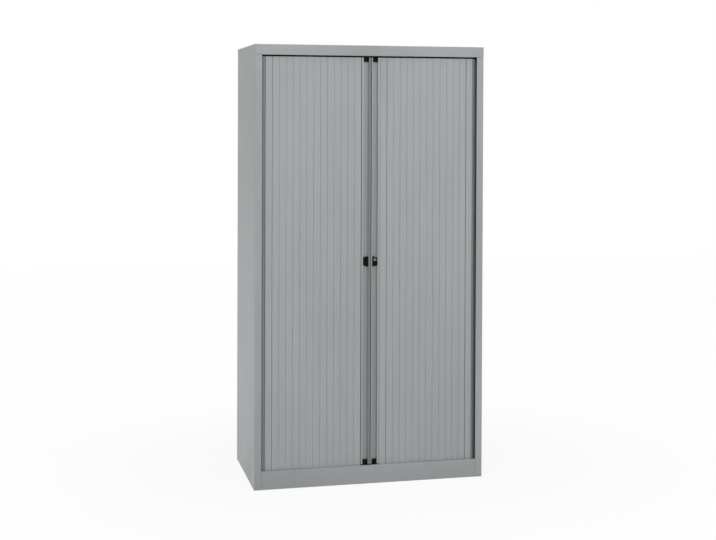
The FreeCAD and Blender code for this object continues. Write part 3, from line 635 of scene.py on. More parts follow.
@dataclass(frozen=True)
class SlatPlastic:
    """Extruded plastic of the slats: faint draw lines along the length, small changes of tone and painted
    shade in its hooks and joints.
    """

    name: str
    colour: Colour
    roughness: float = 0.46
    # share of the painted shade behind the front face
    shade: float = 0.85

    def build(self) -> bpy.types.Material:
        """Makes the material.

        Returns:
            The material.
        """
        s = Shader(self.name)
        across = s.noise((70, 70, 0.35), 2.0, 0.5)
        draw = s.noise((1500, 1500, 3.0), 2.0, 0.5)
        cloud = s.noise((3, 3, 1.1), 3.0, 0.6, (4, 4, 4))
        low = 1.0 - s.height().step(0.05, 0.75)
        dust = s.noise((26, 26, 7), 4.0, 0.65).step(0.45, 0.80) * (low * 0.10 + 0.03)
        tone = s.mix(cloud.step(0.3, 0.7), tint(self.colour, 0.95), tint(self.colour, 1.04))
        tone = s.mix(across.step(0.35, 0.70) * 0.5, tone, tint(self.colour, 0.955))
        tone = s.mix(draw.step(0.45, 0.80) * 0.10, tone, tint(self.colour, 0.82))
        tone = s.mix(dust, tone, (0.24, 0.23, 0.21))
        # painted shade: faces 0.9 to 2.6 mm and more behind the front face, in the hooks and open joints,
        # darken towards a fifth of the colour
        tone = s.mix(s.recess().step(0.9, 2.6) * self.shade, tone, tint(self.colour, 0.2))
        rough = across * 0.10 + (self.roughness - 0.05) + dust * 0.8
        grain = s.bump(draw, 0.00002, 0.8)
        fine = s.bump(s.noise((420, 420, 300), 2.0), 0.00003, 0.6, grain)
        return s.surface({
            "Base Color": tone, "Roughness": rough, "Normal": fine, "Specular IOR Level": 0.42,
        })


@dataclass(frozen=True)
class Anodised:
    """Drawn aluminium with a satin anodised skin and painted shade in its finger channel."""

    name: str
    colour: Colour
    metallic: float = 0.75
    roughness: float = 0.40
    # share of the painted shade down in the finger channel
    shade: float = 0.10

    def build(self) -> bpy.types.Material:
        """Makes the material.

        Returns:
            The material.
        """
        s = Shader(self.name)
        lines = s.noise((2600, 2600, 2.0), 3.0, 0.55)
        cloud = s.noise((12, 12, 2.0), 3.0, 0.6)
        rub = s.noise((90, 90, 6), 3.0, 0.6, (1, 5, 2)).step(0.55, 0.80)
        tone = s.mix(lines.step(0.30, 0.75) * 0.35, self.colour, tint(self.colour, 0.80))
        tone = s.mix(cloud.step(0.35, 0.75) * 0.35, tone, tint(self.colour, 0.90))
        tone = s.mix(rub * 0.18, tone, tint(self.colour, 1.20))
        # painted shade: faces 1 to 10 mm behind the front face, down into the finger channel, darken towards
        # black
        tone = s.mix(s.recess().step(1.0, 10.0) * self.shade, tone, (0.0, 0.0, 0.0))
        rough = lines * 0.12 + cloud * 0.08 + (self.roughness - 0.10)
        return s.surface({
            "Base Color": tone, "Roughness": rough, "Metallic": self.metallic,
            "Normal": s.bump(lines, 0.00001, 0.7), "Anisotropic": 0.35,
        })


@dataclass(frozen=True)
class MouldedBlack:
    """Black moulded plastic with a fine spark-eroded texture and faint paler dust."""

    name: str
    colour: Colour = (0.004, 0.004, 0.0042)
    roughness: float = 0.60

    def build(self) -> bpy.types.Material:
        """Makes the material.

        Returns:
            The material.
        """
        s = Shader(self.name)
        texture = s.noise((1700, 1700, 1700), 3.0, 0.6)
        cloud = s.noise((40, 40, 30), 3.0, 0.6)
        dust = s.noise((130, 130, 60), 4.0, 0.65, (2, 3, 1)).step(0.50, 0.80)
        tone = s.mix(cloud.step(0.3, 0.7), tint(self.colour, 0.75), tint(self.colour, 1.5))
        tone = s.mix(texture.step(0.45, 0.80) * 0.20, tone, (0.010, 0.010, 0.011))
        tone = s.mix(dust * 0.03, tone, (0.08, 0.078, 0.072))
        rough = cloud * 0.16 + dust * 0.15 + (self.roughness - 0.10)
        return s.surface({
            "Base Color": tone, "Roughness": rough, "Normal": s.bump(texture, 0.00006, 0.8),
            "Specular IOR Level": 0.06,
        })


@dataclass(frozen=True)
class ZincPlate:
    """Zinc-plated steel with its cloudy spangle."""

    name: str
    colour: Colour = (0.52, 0.53, 0.53)
    roughness: float = 0.34

    def build(self) -> bpy.types.Material:
        """Makes the material.

        Returns:
            The material.
        """
        s = Shader(self.name)
        spangle = {"Vector": s.mapped((260, 260, 260)), "Scale": 1.0}
        cell = s.node("ShaderNodeTexVoronoi", {"feature": "F1"}, spangle)
        fine = s.noise((900, 900, 900), 2.0)
        cloud = s.noise((60, 60, 60), 3.0, 0.6)
        tone = s.mix(cell.step(0.2, 0.9) * 0.5, self.colour, tint(self.colour, 0.80))
        tone = s.mix(cloud.step(0.50, 0.80) * 0.35, tone, (0.42, 0.40, 0.34))
        rough = cell * 0.16 + fine * 0.10 + (self.roughness - 0.10)
        return s.surface({
            "Base Color": tone, "Roughness": rough, "Metallic": 0.9, "Normal": s.bump(fine, 0.00003, 0.5),
        })


@dataclass(frozen=True)
class BrightChrome:
    """Polished chrome with hairline key scratches."""

    name: str
    colour: Colour = (0.62, 0.63, 0.64)

    def build(self) -> bpy.types.Material:
        """Makes the material.

        Returns:
            The material.
        """
        s = Shader(self.name)
        hair = s.noise((4200, 900, 5200), 3.0, 0.7).step(0.55, 0.75)
        cloud = s.noise((300, 300, 300), 2.0)
        tone = s.mix(hair * 0.30, self.colour, tint(self.colour, 0.75))
        rough = hair * 0.20 + cloud * 0.06 + 0.12
        return s.surface({
            "Base Color": tone, "Roughness": rough, "Metallic": 1.0, "Normal": s.bump(hair, 0.00001, 0.6),
        })


class Finishes:
    """The cabinet's finishes, each built once, and the slots that take them."""

    def __init__(self) -> None:
        """Builds every finish."""
        self.by_slot: dict[str, bpy.types.Material] = {
            "carcass_paint": PowderCoat("carcass_coat", (0.365, 0.387, 0.391)).build(),
            "inner_paint": PowderCoat("inner_coat", (0.355, 0.372, 0.376), dirt=0.04, scuff=0.25).build(),
            "slat_plastic": SlatPlastic("slat_plastic", (0.375, 0.397, 0.401)).build(),
            "rail_aluminium": Anodised("rail_anodised", (0.345, 0.362, 0.367), metallic=0.35).build(),
            "black_plastic": MouldedBlack("moulded_black").build(),
            "zinc_steel": ZincPlate("zinc_plate").build(),
            "lock_chrome": BrightChrome("bright_chrome").build(),
            "dark_nickel": BrightChrome("dark_nickel", (0.10, 0.10, 0.105)).build(),
            # darker grey of the nose seal: painted shade on the left nose
            "seal_grey": SlatPlastic("seal_grey", (0.205, 0.215, 0.217), roughness=0.6).build(),
        }

    def dress_frame(self, frame: dict[str, Any]) -> None:
        """Gives every carried-over node the finish of its slot.

        Args:
            frame: The loaded frame.
        """
        for entry in frame["record"]["subparts"]:
            piece = bpy.data.objects[entry["node"]]
            material = self.by_slot[entry["material_slot"]]
            if not piece.material_slots:
                piece.data.materials.append(material)
            for spot in piece.material_slots:
                spot.material = material


@dataclass
class Assembly:
    """A sub-assembly that hands its pieces to the workshop."""

    shop: Workshop


@dataclass
class FrontPart(Assembly):
    """A part of one roll front, with the levels and depths that these parts share."""

    side: Side
    face: float = -223.0
    knuckle: float = 5.2
    high: float = 1809.7
    glide_low: float = 62.3
    glide_high: float = 1825.7
    glide_radius: float = 4.3

    def hand_over(self, bench: Bench, name: str, slot: str, *nodes: str, body: str = "front") -> None:
        """Delivers a piece named for its side.

        Args:
            bench: The finished shape.
            name: The piece's name without the side.
            slot: The record's material slot.
            nodes: CAD nodes that it stands for, without the side.
            body: The CAD body that carries it, without the side.
        """
        word = self.side.word
        bench.flip(self.side)
        nodes = tuple(f"{word}_{node}" for node in nodes)
        self.shop.deliver(bench, f"{word}_{name}", f"{word}_{body}", slot, *nodes)


@dataclass
class Curtain(FrontPart):
    """One roll front's slats: crowned faces, hooked to each other, with a moulded glide at each end."""

    pitch: float = 29.5
    count: int = 14
    first_joint: float = 454.4
    corner_turn: float = 45.0
    low: float = 70.3
    crown: float = 0.18
    gap: float = 0.3
    open_gaps: dict[int, float] = field(default_factory=dict)
    plate: float = 1.6
    bead: float = 1.9
    bead_corner: float = 1.85

    def outline(self, number: int) -> list[Corner]:
        """Cross-section of a slat: bead at 0, face between, hook that holds the next bead a pitch on.

        Args:
            number: The slat's inner joint, counted from the corner.

        Returns:
            The corners, with the bead side first.
        """
        p, k, b = self.pitch, self.knuckle, self.bead
        near, far = (self.open_gaps.get(joint, self.gap) for joint in (number - 1, number))
        return [
            (near, self.crown, 0.7), (p * 0.3, 0.0, 0), (p * 0.7, 0.0, 0), (p - far, self.crown, 0.7),
            (p - far, 2.3, 0), (p + 2.8, 2.3, 1.0), (p + 2.8, k - 1.3, 0.25), (p + 2.25, k - 1.3, 0.25),
            (p + 2.25, k - 2.2, 0.6), (p - 2.2, k - 2.2, 1.9), (p - 2.2, k + 2.2, 1.9), (p, k + 2.2, 0.25),
            (p, k + 3.4, 0.25), (p - 3.4, k + 3.4, 2.9), (p - 3.4, self.plate, 0.6),
            (5.2, self.plate, 0.6), (5.2, k + 0.6, 0.4), (b, k + 0.6, 0), (b, k + b, 1.2),
            (-b, k + b, self.bead_corner), (-b, k - b, self.bead_corner), (b, k - b, 1.2), (b, k - 0.6, 0),
            (4.0, k - 0.6, 0.3), (4.0, self.plate, 0.3), (near, self.plate, 0.2),
        ]

    def glides(self, bench: Bench) -> None:
        """Adds the glides pushed into the slat's ends.

        Args:
            bench: The slat.
        """
        r, chamfer, neck = self.glide_radius, 1.2, self.glide_radius - 1.4
        for tip, end, way in ((self.glide_low, self.low, 1), (self.glide_high, self.high, -1)):
            profile = [(0, tip), (r - chamfer, tip), (r, tip + way * chamfer), (r, end - way * 2.2),
                       (neck, end - way * 1.4), (neck, end + way * 0.4), (0, end + way * 0.4)]
            bench.lathe(profile, (self.pitch / 2, r), Plane.ACROSS_Z, 16)
            low, high = sorted((end + way * 0.15, end + way * 7.0))
            bench.block((6.0, self.plate - 0.3, low), (self.pitch - 4.2, 7.6, high), 0.5)

    def slat(self, number: int, x: float, y: float, turn: float = 0.0) -> Bench:
        """Builds one slat of a left curtain, hung from its inner joint.

        Args:
            number: The joint's number from the corner.
            x: Distance of the joint from the middle, to the left.
            y: Depth of the joint.
            turn: Turn towards the side, in degrees.

        Returns:
            The slat.
        """
        bench = Bench()
        bench.bar(self.outline(number), Plane.ACROSS_Z, self.low, self.high, 5)
        self.glides(bench)
        bench.note_recess()
        hang = Matrix.Translation((x, y, 0)) @ Matrix.Rotation(math.radians(-turn), 4, "Z")
        bench.move(hang @ Matrix.Translation((-self.pitch, -self.knuckle, 0)))
        return bench

    def build(self) -> None:
        """Makes every slat, the corner slat and the tail slat."""
        x, y, turn = -self.first_joint, self.face + self.knuckle, self.corner_turn
        step = self.pitch * math.cos(math.radians(turn))
        row = {f"slat_{i:02d}": (i, x + i * self.pitch, y) for i in range(1, self.count + 1)}
        row |= {"corner_slat": (0, x, y, turn), "tail_slat": (-1, x - step, y + step, 2 * turn)}
        last = f"slat_{self.count:02d}"
        for name, place in row.items():
            body = "front" if name == last else name
            self.hand_over(self.slat(*place), f"{name}_face", "slat_plastic", name, body=body)


@dataclass
class LeadRail(FrontPart):
    """One front's leading rail: lip with its bead, finger channel, nose and the strips at its joints, whose
    black and darker grey are painted shade.
    """

    low: float = 80.0
    back: float = -210.0
    floor: float = -211.4
    lip: float = 39.4
    tight_lip: float = 40.8
    channel: float = 31.5
    nose: float = 8.5
    tip: float = 1.5
    rebate: float = 4.3
    rebate_depth: float = 5.5
    wall: float = 1.4
    joint: float = 41.4
    bead: float = 1.9
    bead_corner: float = 1.85
    grips: tuple[float, ...] = (12.0, 16.0, 20.0, 24.0, 28.0)
    grip_half: float = 0.35
    slot_low: float = 930.2
    slot_high: float = 961.6
    slot_front: float = -214.3

    def outline(self) -> list[Corner]:
        """Cross-section of the rail as a left one; the right front's has a rebate for the other's seal.

        Returns:
            The corners, from the lip towards the nose and round the back.
        """
        f, k = self.face, self.face + self.knuckle
        front = [(-self.nose, f, 1.4), (-self.tip, f, 1.8)]
        if self.side is Side.RIGHT:
            deep = f + self.rebate_depth
            front = [(-self.nose, f, 0.6), (-self.rebate, f, 0.6),
                     (-self.rebate, deep, 0.4), (-self.tip, deep, 0.8)]
        wall = -self.channel - self.wall
        lip = -self.lip if self.side is Side.LEFT else -self.tight_lip
        near, far = -self.joint + self.bead, -self.joint - self.bead
        return [
            (lip, f, 0.9), (-self.channel, f, 0.8), (-self.channel, self.floor, 1.6),
            (-self.nose, self.floor, 0.4), *front, (-self.tip, self.back, 0.4), (wall, self.back, 0.8),
            (wall, k + 0.6, 0.3), (near, k + 0.6, 0), (near, k + self.bead, 1.2),
            (far, k + self.bead, self.bead_corner), (far, k - self.bead, self.bead_corner),
            (near, k - self.bead, 1.2), (near, k - 0.6, 0), (wall, k - 0.6, 0.3),
            (wall, f + 1.6, 0.3), (lip, f + 1.6, 0.3),
        ]

    def build(self) -> None:
        """Makes the rail with its grip lines, and its strips of painted shade."""
        bench, cutter = Bench(), Bench()
        bench.bar(self.outline(), Plane.ACROSS_Z, self.low, self.high)
        under, over, half = self.low - 5, self.high + 5, self.grip_half
        deep = self.face + (self.rebate_depth if self.side is Side.RIGHT else 0.0) + self.wall
        cutter.block((-self.nose + self.wall, deep, under), (-self.tip - self.wall, self.floor, over))
        cutter.block((-self.nose - 2.5, self.slot_front, self.slot_low), (5, self.floor, self.slot_high))
        for line in self.grips:
            cutter.block((-line - half, self.floor - 1, under), (-line + half, self.floor + half, over))
        rail = self.shop.carve(bench, cutter)
        rail.note_recess(self.face)
        self.hand_over(rail, "lead_profile", "rail_aluminium", "lead_rail")
        if self.side is Side.LEFT:
            # black strip of painted shade in the left rail's joint
            self.gasket()
            self.seal()
        else:
            # black strip of painted shade in the right rail's rebate
            self.strip()

    def upright(self, corners: list[Corner], low: float) -> Bench:
        """Makes a strip along the rail: the seal or a black strip of painted shade.

        Args:
            corners: Its outline.
            low: How far above the rail's foot it starts.

        Returns:
            The strip.
        """
        strip = Bench()
        strip.bar(corners, Plane.ACROSS_Z, self.low + low, self.high - 1)
        return strip

    def gasket(self) -> None:
        """Makes a black strip in the joint between the left rail and its first slat, as painted shade in that
        joint.
        """
        rear = self.face + 1.8
        far, near = -self.joint - 0.2, -self.lip - 0.1
        strip = self.upright([(far, rear - 0.7, 0.2), (near, rear - 0.7, 0.2),
                              (near, rear, 0.1), (far, rear, 0.1)], 2)
        # painted shade: a black strip that darkens the joint between the rail's lip and its first slat
        self.shop.deliver(strip, "joint_gasket", "left_front", "black_plastic")

    def strip(self) -> None:
        """Makes the black strip that fills the right rail's rebate beside the seal, as painted shade in the
        gap.
        """
        rear = self.face + self.rebate_depth - 0.05
        near, far, front = self.tip + 0.5, self.rebate - 0.1, rear - 4.9
        strip = self.upright([(near, front, 0.5), (far, front, 0.2), (far, rear, 0.1), (near, rear, 0.1)], 1)
        # painted shade: a black strip that darkens the gap between the two noses
        self.shop.deliver(strip, "rebate_strip", "right_front", "black_plastic")

    def seal(self) -> None:
        """Makes the soft strip on the left nose, whose lip lies in the right rail's rebate; its darker grey
        is painted shade on the nose.
        """
        f, root, tip, lip = self.face, -self.nose + 0.6, -self.tip, 1.8
        strip = self.upright([(root, f - 0.5, 0.4), (tip - 1.0, f - 0.5, 0.4), (lip, f + 0.3, 0.5),
                              (lip, f + 1.3, 0.4), (tip + 0.2, f + 1.9, 0.3), (tip + 0.2, f + 0.2, 0),
                              (tip - 1.4, f + 0.1, 0), (root, f + 0.1, 0)], 1)
        # painted shade: the seal's darker grey darkens the left nose
        self.shop.deliver(strip, "nose_seal", "left_front", "slat_plastic", finish="seal_grey")


@dataclass
class Grip(Assembly):
    """Moulded grip in a finger channel: rounded edges, a dished thumb face and, on the right, the lock."""

    side: Side
    middle: float = 943.0
    tall: float = 20.5
    low: float = 15.0
    inner: float = 8.5
    bend: float = 17.5
    outer: float = 31.5
    face: float = -224.5
    floor: float = -211.4
    edge: float = 1.6
    dish: tuple[Point, ...] = ((0, 1.4), (4, 1.3), (7.5, 0.7), (9.6, -0.4), (9.6, -3), (0, -3))
    catch_wall: float = 1.5
    catch_half: float = 18.5
    catch_step: float = 1.9
    axis: Point = (20.0, 951.0)
    bore: float = 5.6
    pocket_front: float = -216.3
    pocket_side: float = -28.0
    pocket_span: Point = (-13.0, 18.4)
    pin: Point = (11.5, 934.5)
    pin_radius: float = 2.0
    ribs: int = 4
    rib_top: float = 938.0
    rib_step: float = 3.2
    rib_half: float = 0.7
    rib_depth: float = 0.6
    rib_span: Point = (-27.5, -12.0)
    node: str = ""

    def body(self) -> Bench:
        """Makes the block, rounded at the front.

        Returns:
            The block.
        """
        bench = Bench()
        t, w, m = self.tall, self.low, self.middle
        bench.bar([(-self.inner, m + t, 0.6), (-self.bend, m + t, 2.5), (-self.outer, m + w, 1.5),
                   (-self.outer, m - w, 1.5), (-self.bend, m - t, 2.5), (-self.inner, m - t, 0.6)],
                  Plane.ACROSS_Y, self.face, self.floor, 3)
        limit = self.face + 0.01
        front = [face for face in bench.shape.faces if all(vert.co.y < limit for vert in face.verts)]
        bench.bevel(edges_of(front), self.edge, 3, clamp=True)
        return bench

    def cutters(self) -> list[Bench]:
        """Makes what is taken from the block, which gives it its dish or its ribs and the lock's room.

        Returns:
            On the left the dish and the hook's pocket, on the right the bore, the pocket and the ribs.
        """
        cut, pocket, ribs = Bench(), Bench(), Bench()
        f, m, back = self.face, self.middle, self.floor + 5
        if self.side is Side.LEFT:
            dish = [(radius, f + level) for radius, level in self.dish]
            cut.lathe(dish, (-(self.inner + self.outer) / 2, m), Plane.ACROSS_Y, 40)
            wall, front, half = self.catch_wall, self.pocket_front + self.catch_step, self.catch_half
            pocket.block((-self.outer + wall, front, m - half), (3, back, m + half))
            return [cut, pocket]
        (x, z), end = self.axis, self.pocket_front + 1
        cut.lathe([(0, f - 3), (self.bore, f - 3), (self.bore, end), (0, end)], (-x, z), Plane.ACROSS_Y, 40)
        foot, head = self.pocket_span
        pocket.block((self.pocket_side, self.pocket_front, m + foot), (3, back, m + head))
        (far, near), half, deep = self.rib_span, self.rib_half, f + self.rib_depth
        for number in range(self.ribs):
            level = self.rib_top - self.rib_step * number
            ribs.block((far, f - 2, level - half), (near, deep, level + half))
        return [cut, pocket, ribs]

    def build(self) -> None:
        """Makes the grip and, on the right, the lock's parts."""
        word = self.side.word
        grip = self.body()
        for cutter in self.cutters():
            grip = self.shop.carve(grip, cutter)
        grip.flip(self.side)
        if self.side is Side.RIGHT:
            start, end, radius = self.pocket_front - 0.5, self.floor - 0.2, self.pin_radius
            stop_pin = [(0, start), (radius, start), (radius, end), (0, end)]
            grip.lathe(stop_pin, self.pin, Plane.ACROSS_Y, 20)
        self.shop.deliver(grip, f"{word}_grip", f"{word}_front", "black_plastic", self.node)


@dataclass
class Lock(Assembly):
    """Cylinder lock in the right grip: bright ring, turning core with its keyway, cam and hook bolt."""

    axis: Point = (20.0, 951.0)
    radius: float = 5.5
    front: float = -225.3
    pocket_front: float = -216.3
    ring: float = 0.9
    play: float = 0.08
    keyway: Point = (1.3, 6.2)
    key_depth: float = 4.5
    ward: Point = (0.7, 1.6)
    tail: float = -213.95
    tail_radius: float = 3.0
    cam: Point = (-215.4, -214.05)
    cam_half: float = 2.0
    cam_reach: Point = (2.6, -7.5)
    cam_corners: Point = (1.0, 1.8)
    broken_edge: float = 0.25

    def build(self) -> None:
        """Makes the ring, the core and the hook bolt."""
        rim, core, slot, hook = Bench(), Bench(), Bench(), Bench()
        (x, z), f, outer, inner = self.axis, self.front, self.radius, self.radius - self.ring
        rim.lathe([(inner, f + 3.0), (inner, f + 0.5), (inner + 0.3, f + 0.1), (outer - 0.35, f),
                   (outer, f + 0.35), (outer, f + 3.0), (inner, f + 3.0)], self.axis, Plane.ACROSS_Y, 40)
        self.shop.deliver(rim, "lock_ring", "right_front", "lock_chrome")
        r, thin, tail, neck = inner - self.play, self.tail_radius, self.tail, self.pocket_front - 0.2
        core.lathe([(0, f + 0.75), (1.6, f + 0.7), (r - 0.5, f + 0.45), (r, f + 0.85), (r, neck),
                    (thin, neck), (thin, tail), (0, tail)], self.axis, Plane.ACROSS_Y, 40)
        half, (head, foot), (small, large) = self.cam_half, self.cam_reach, self.cam_corners
        core.bar([(x - half, z + head, small), (x + half, z + head, small), (x + half, z + foot, large),
                  (x - half, z + foot, large)], Plane.ACROSS_Y, *self.cam)
        w, h, (wide, rise), end = self.keyway[0] / 2, self.keyway[1] / 2, self.ward, f + self.key_depth
        slot.block((x - w, f - 2, z - h), (x + w, end, z + h))
        slot.block((x - w, f - 2, z - h), (x + w + wide, end, z - h + rise))
        slot.lathe([(0, f - 1), (1.5, f - 1), (1.5, f + 1.3), (0, f + 1.3)], self.axis, Plane.ACROSS_Y, 24)
        self.shop.deliver(self.shop.carve(core, slot), "lock_core", "lock_cylinder", "lock_chrome",
                          "lock_cylinder", finish="dark_nickel")
        hook.soften(hook.copy_node("lock_hook"), self.broken_edge)
        self.shop.deliver(hook, "lock_hook_bolt", "lock_hook", "zinc_steel", "lock_hook")


@dataclass
class LeadCaps(FrontPart):
    """Black end caps of one leading rail: ribbed plugs with glides, and the foot under the rail."""

    low: float = 80.0
    foot: float = 9.0
    plug: float = 18.0
    front: float = -222.2
    floor: float = -211.45
    line: float = -218.7
    channel: Point = (-31.5, -8.5)
    foot_span: Point = (-37.7, -2.3)
    foot_back: float = -210.8
    chamfer: float = 1.3
    rib_inset: float = 7.4
    rib_half: float = 0.5
    rib_depth: float = 1.0
    rib_margin: float = 4.0

    def build(self) -> None:
        """Makes both caps as one piece."""
        bench, ribs = Bench(), Bench()
        (inner, outer), front, r = self.channel, self.front, self.glide_radius
        spans = ((self.low - 1, self.low + self.plug), (self.high - self.plug, self.high))
        for low, high in spans:
            bench.block((inner, front, low), (outer, self.floor, high), 1.0, 3)
        bench.block((self.foot_span[0], front, self.low - self.foot),
                    (self.foot_span[1], self.foot_back, self.low), 0.9, 3)
        for x in (inner + r + 1.0, outer - r - 1.0):
            for tip, end in ((self.glide_low, self.low - 2), (self.glide_high, self.high - 2)):
                edge = tip + math.copysign(self.chamfer, end - tip)
                bench.lathe([(0, tip), (r - self.chamfer, tip), (r, edge), (r, end), (0, end)],
                            (x, self.line), Plane.ACROSS_Z, 24)
        for x in (inner + self.rib_inset, outer - self.rib_inset):
            for low, high in ((self.low, self.low + self.plug), (self.high - self.plug, self.high)):
                ribs.block((x - self.rib_half, front - 1, low + self.rib_margin),
                           (x + self.rib_half, front + self.rib_depth, high - self.rib_margin))
        self.hand_over(self.shop.carve(bench, ribs), "end_caps", "black_plastic", "lead_caps")


@dataclass
class Fittings(Assembly):
    """Shelves with their clips, the feet with their brackets, and the screws of the tracks."""

    shelves: int = 4
    sheet: float = 1.0
    shelf_lip: float = 10.0
    shelf_fold: float = 2.0
    burr: float = 60.0
    rows: Point = (-150.0, 180.0)
    clip_half: float = 6.0
    clip_plate: float = 1.6
    clip_reach: float = 14.9
    clip_hook: float = 12.8
    clip_back: float = 457.9
    clip_fold: float = 2.2
    foot: Point = (464.0, 185.0)
    stem: float = 4.9
    pitch: float = 1.6
    thread_depth: float = 0.6
    thread_low: float = 9.6
    thread_high: float = 51.0
    bracket: Point = (437.0, 497.0)
    bracket_span: Point = (19.0, 59.0)
    bracket_half: float = 25.0
    bracket_plate: float = 2.0
    bracket_fold: float = 3.0
    nut_flats: float = 9.0
    nut_span: Point = (1.5, 10.0)
    screw_flats: float = 2.5
    screw_span: Point = (-2.0, -0.4)
    screw_seats: tuple[tuple[Triple, Triple], ...] = (
        ((-476.16, 65.0, 1829.0), (0, 0, -1)), ((-180.0, -225.8, 1823.0), (0, 1, 0)),
        ((-476.16, 65.0, 59.0), (0, 0, 1)), ((-180.0, -218.7, 59.0), (0, 0, 1)),
    )

    def shelf(self, number: int) -> None:
        """Makes one shelf with rounded folds.

        Args:
            number: Number of the shelf from below.
        """
        low, high = (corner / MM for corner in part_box(f"shelf_{number}"))
        bench = Bench()
        lip = self.shelf_lip
        path = [(low.y + lip, low.z), (low.y, low.z), (low.y, high.z), (high.y, high.z), (high.y, low.z),
                (high.y - lip, low.z)]
        made = bench.sheet(path, self.sheet, Plane.ACROSS_X, low.x, high.x, self.shelf_fold)
        bench.soften(made, 0.2, 1, self.burr)
        self.shop.deliver(bench, f"shelf_{number}_folded", "cabinet", "inner_paint", f"shelf_{number}")

    def clips(self) -> None:
        """Makes the bent clips that carry the shelves."""
        bench = Bench()
        for number in range(1, self.shelves + 1):
            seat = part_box(f"shelf_{number}")[1].z / MM - self.sheet
            back, half = self.clip_back, self.clip_half
            path = [(-back, seat - self.clip_hook), (-back, seat), (-back + self.clip_reach, seat)]
            for y in self.rows:
                made = bench.sheet(path, self.clip_plate, Plane.ACROSS_Y, y - half, y + half, self.clip_fold)
                bench.soften(made, 0.3, 1, self.burr)
        bench.both_sides()
        self.shop.deliver(bench, "shelf_clips_bent", "cabinet", "zinc_steel", "shelf_clips")

    def brackets(self) -> None:
        """Makes the channels under the floor with their welded nuts."""
        bench, bore = Bench(), Bench()
        (near, far), (low, high), half = self.bracket, self.bracket_span, self.bracket_half
        path = [(-near, high), (-near, low), (-far, low), (-far, high)]
        hole = self.stem + 0.15
        for y in (-self.foot[1], self.foot[1]):
            bench.sheet(path, self.bracket_plate, Plane.ACROSS_Y, y - half, y + half, self.bracket_fold)
            centre = (-self.foot[0], y)
            bench.hexagon(centre, self.nut_flats, *(low + rise for rise in self.nut_span))
            bore.lathe([(0, 0), (hole, 0), (hole, high - 1), (0, high - 1)], centre, Plane.ACROSS_Z, 24)
        cut = self.shop.carve(bench, bore)
        cut.both_sides()
        self.shop.deliver(cut, "foot_brackets_welded", "cabinet", "zinc_steel", "foot_brackets")

    def feet(self) -> None:
        """Makes the levelling feet: a moulded pad with a collar and a threaded stem."""
        bench = Bench()
        core, level = self.stem - self.thread_depth, self.thread_low
        profile = [(0, 0), (18.6, 0), (19.7, 0.8), (19.9, 2.0), (18.6, 3.4), (11.5, 4.6), (9.6, 5.6),
                   (9.0, 8.4), (8.2, 9.0), (core, 9.0)]
        while level < self.thread_high:
            profile += [(core, level), (self.stem, level + self.pitch / 2)]
            level += self.pitch
        profile += [(core, 51.2), (self.stem - 1.5, 52.0), (0, 52.0)]
        for y in (-self.foot[1], self.foot[1]):
            bench.lathe(profile, (-self.foot[0], y), Plane.ACROSS_Z, 28)
        bench.both_sides()
        self.shop.deliver(bench, "feet_turned", "cabinet", "black_plastic", "levelling_feet")

    def screws(self) -> None:
        """Makes the hexagon screws that hold the tracks, each with a washer face."""
        bench = Bench()
        for seat, way in self.screw_seats:
            before = set(bench.shape.faces)
            bench.lathe([(0, -0.5), (2.9, -0.5), (3.0, -0.3), (3.0, 0), (1.6, 0), (1.6, 2.0), (0, 2.2)],
                        (0, 0), Plane.ACROSS_Z, 24)
            bench.hexagon((0, 0), self.screw_flats, *self.screw_span)
            made = bench.new_since(before)
            turn = Vector((0, 0, 1)).rotation_difference(Vector(way)).to_matrix().to_4x4()
            bench.move(Matrix.Translation(seat) @ turn, made)
        bench.both_sides()
        self.shop.deliver(bench, "track_screws_hex", "cabinet", "zinc_steel", "track_screws")

    def build(self) -> None:
        """Makes every fitting."""
        for number in range(1, self.shelves + 1):
            self.shelf(number)
        self.clips()
        self.brackets()
        self.feet()
        self.screws()


@dataclass
class Carcass(Assembly):
    """Sheet steel pieces with broken edges and the spot welds that show at the back."""

    edge: float = 0.25
    least_turn: float = 50.0
    weld_radius: float = 3.2
    weld_depth: float = 0.35
    flange: float = 489.5
    flange_welds: tuple[float, float, int] = (60.0, 1800.0, 10)
    top: float = 1849.0
    top_welds: tuple[float, float, int] = (-420.0, 420.0, 8)
    rear: float = 235.0

    @staticmethod
    def row(low: float, high: float, count: int) -> list[float]:
        """Places at equal steps from low to high."""
        return [low + (high - low) / (count - 1) * i for i in range(count)]

    def weld_marks(self) -> Bench:
        """Makes the shallow dishes of the spot welds on the rear flanges and the top's rear fold.

        Returns:
            What is taken from the panels.
        """
        marks = Bench()
        spots = [(side * self.flange, z) for z in self.row(*self.flange_welds) for side in (-1, 1)]
        spots += [(x, self.top) for x in self.row(*self.top_welds)]
        radius, rear, floor = self.weld_radius, self.rear, self.rear - self.weld_depth
        profile = [(0, floor), (radius * 0.75, floor), (radius, rear + 0.1), (radius, rear + 1.0),
                   (0, rear + 1.0)]
        for spot in spots:
            marks.lathe(profile, spot, Plane.ACROSS_Y, 20)
        return marks

    def panel(self, node: str, name: str, slot: str, side: Side = Side.LEFT, welded: bool = False) -> None:
        """Makes one panel or track from its CAD node, with broken edges.

        Args:
            node: The node that its shape comes from.
            name: The node that it stands for.
            slot: The record's material slot.
            side: The right side mirrors the node's shape.
            welded: Whether weld marks show on it.
        """
        bench = Bench()
        bench.soften(bench.copy_node(node), self.edge, 2, self.least_turn)
        if welded:
            bench = self.shop.carve(bench, self.weld_marks())
        bench.flip(side)
        self.shop.deliver(bench, f"{name}_finished", "cabinet", slot, name)

    def build(self) -> None:
        """Makes the panels and the tracks."""
        paired = {"side_panel": "carcass_paint", "inner_liner": "inner_paint",
                  "top_track": "black_plastic", "bottom_track": "black_plastic"}
        for node, slot in paired.items():
            for side in Side:
                self.panel(f"left_{node}", f"{side.word}_{node}", slot, side, node == "side_panel")
        for node in ("top_panel", "back_panel", "base_panel", "plinth"):
            self.panel(node, node, "carcass_paint", welded=node == "top_panel")


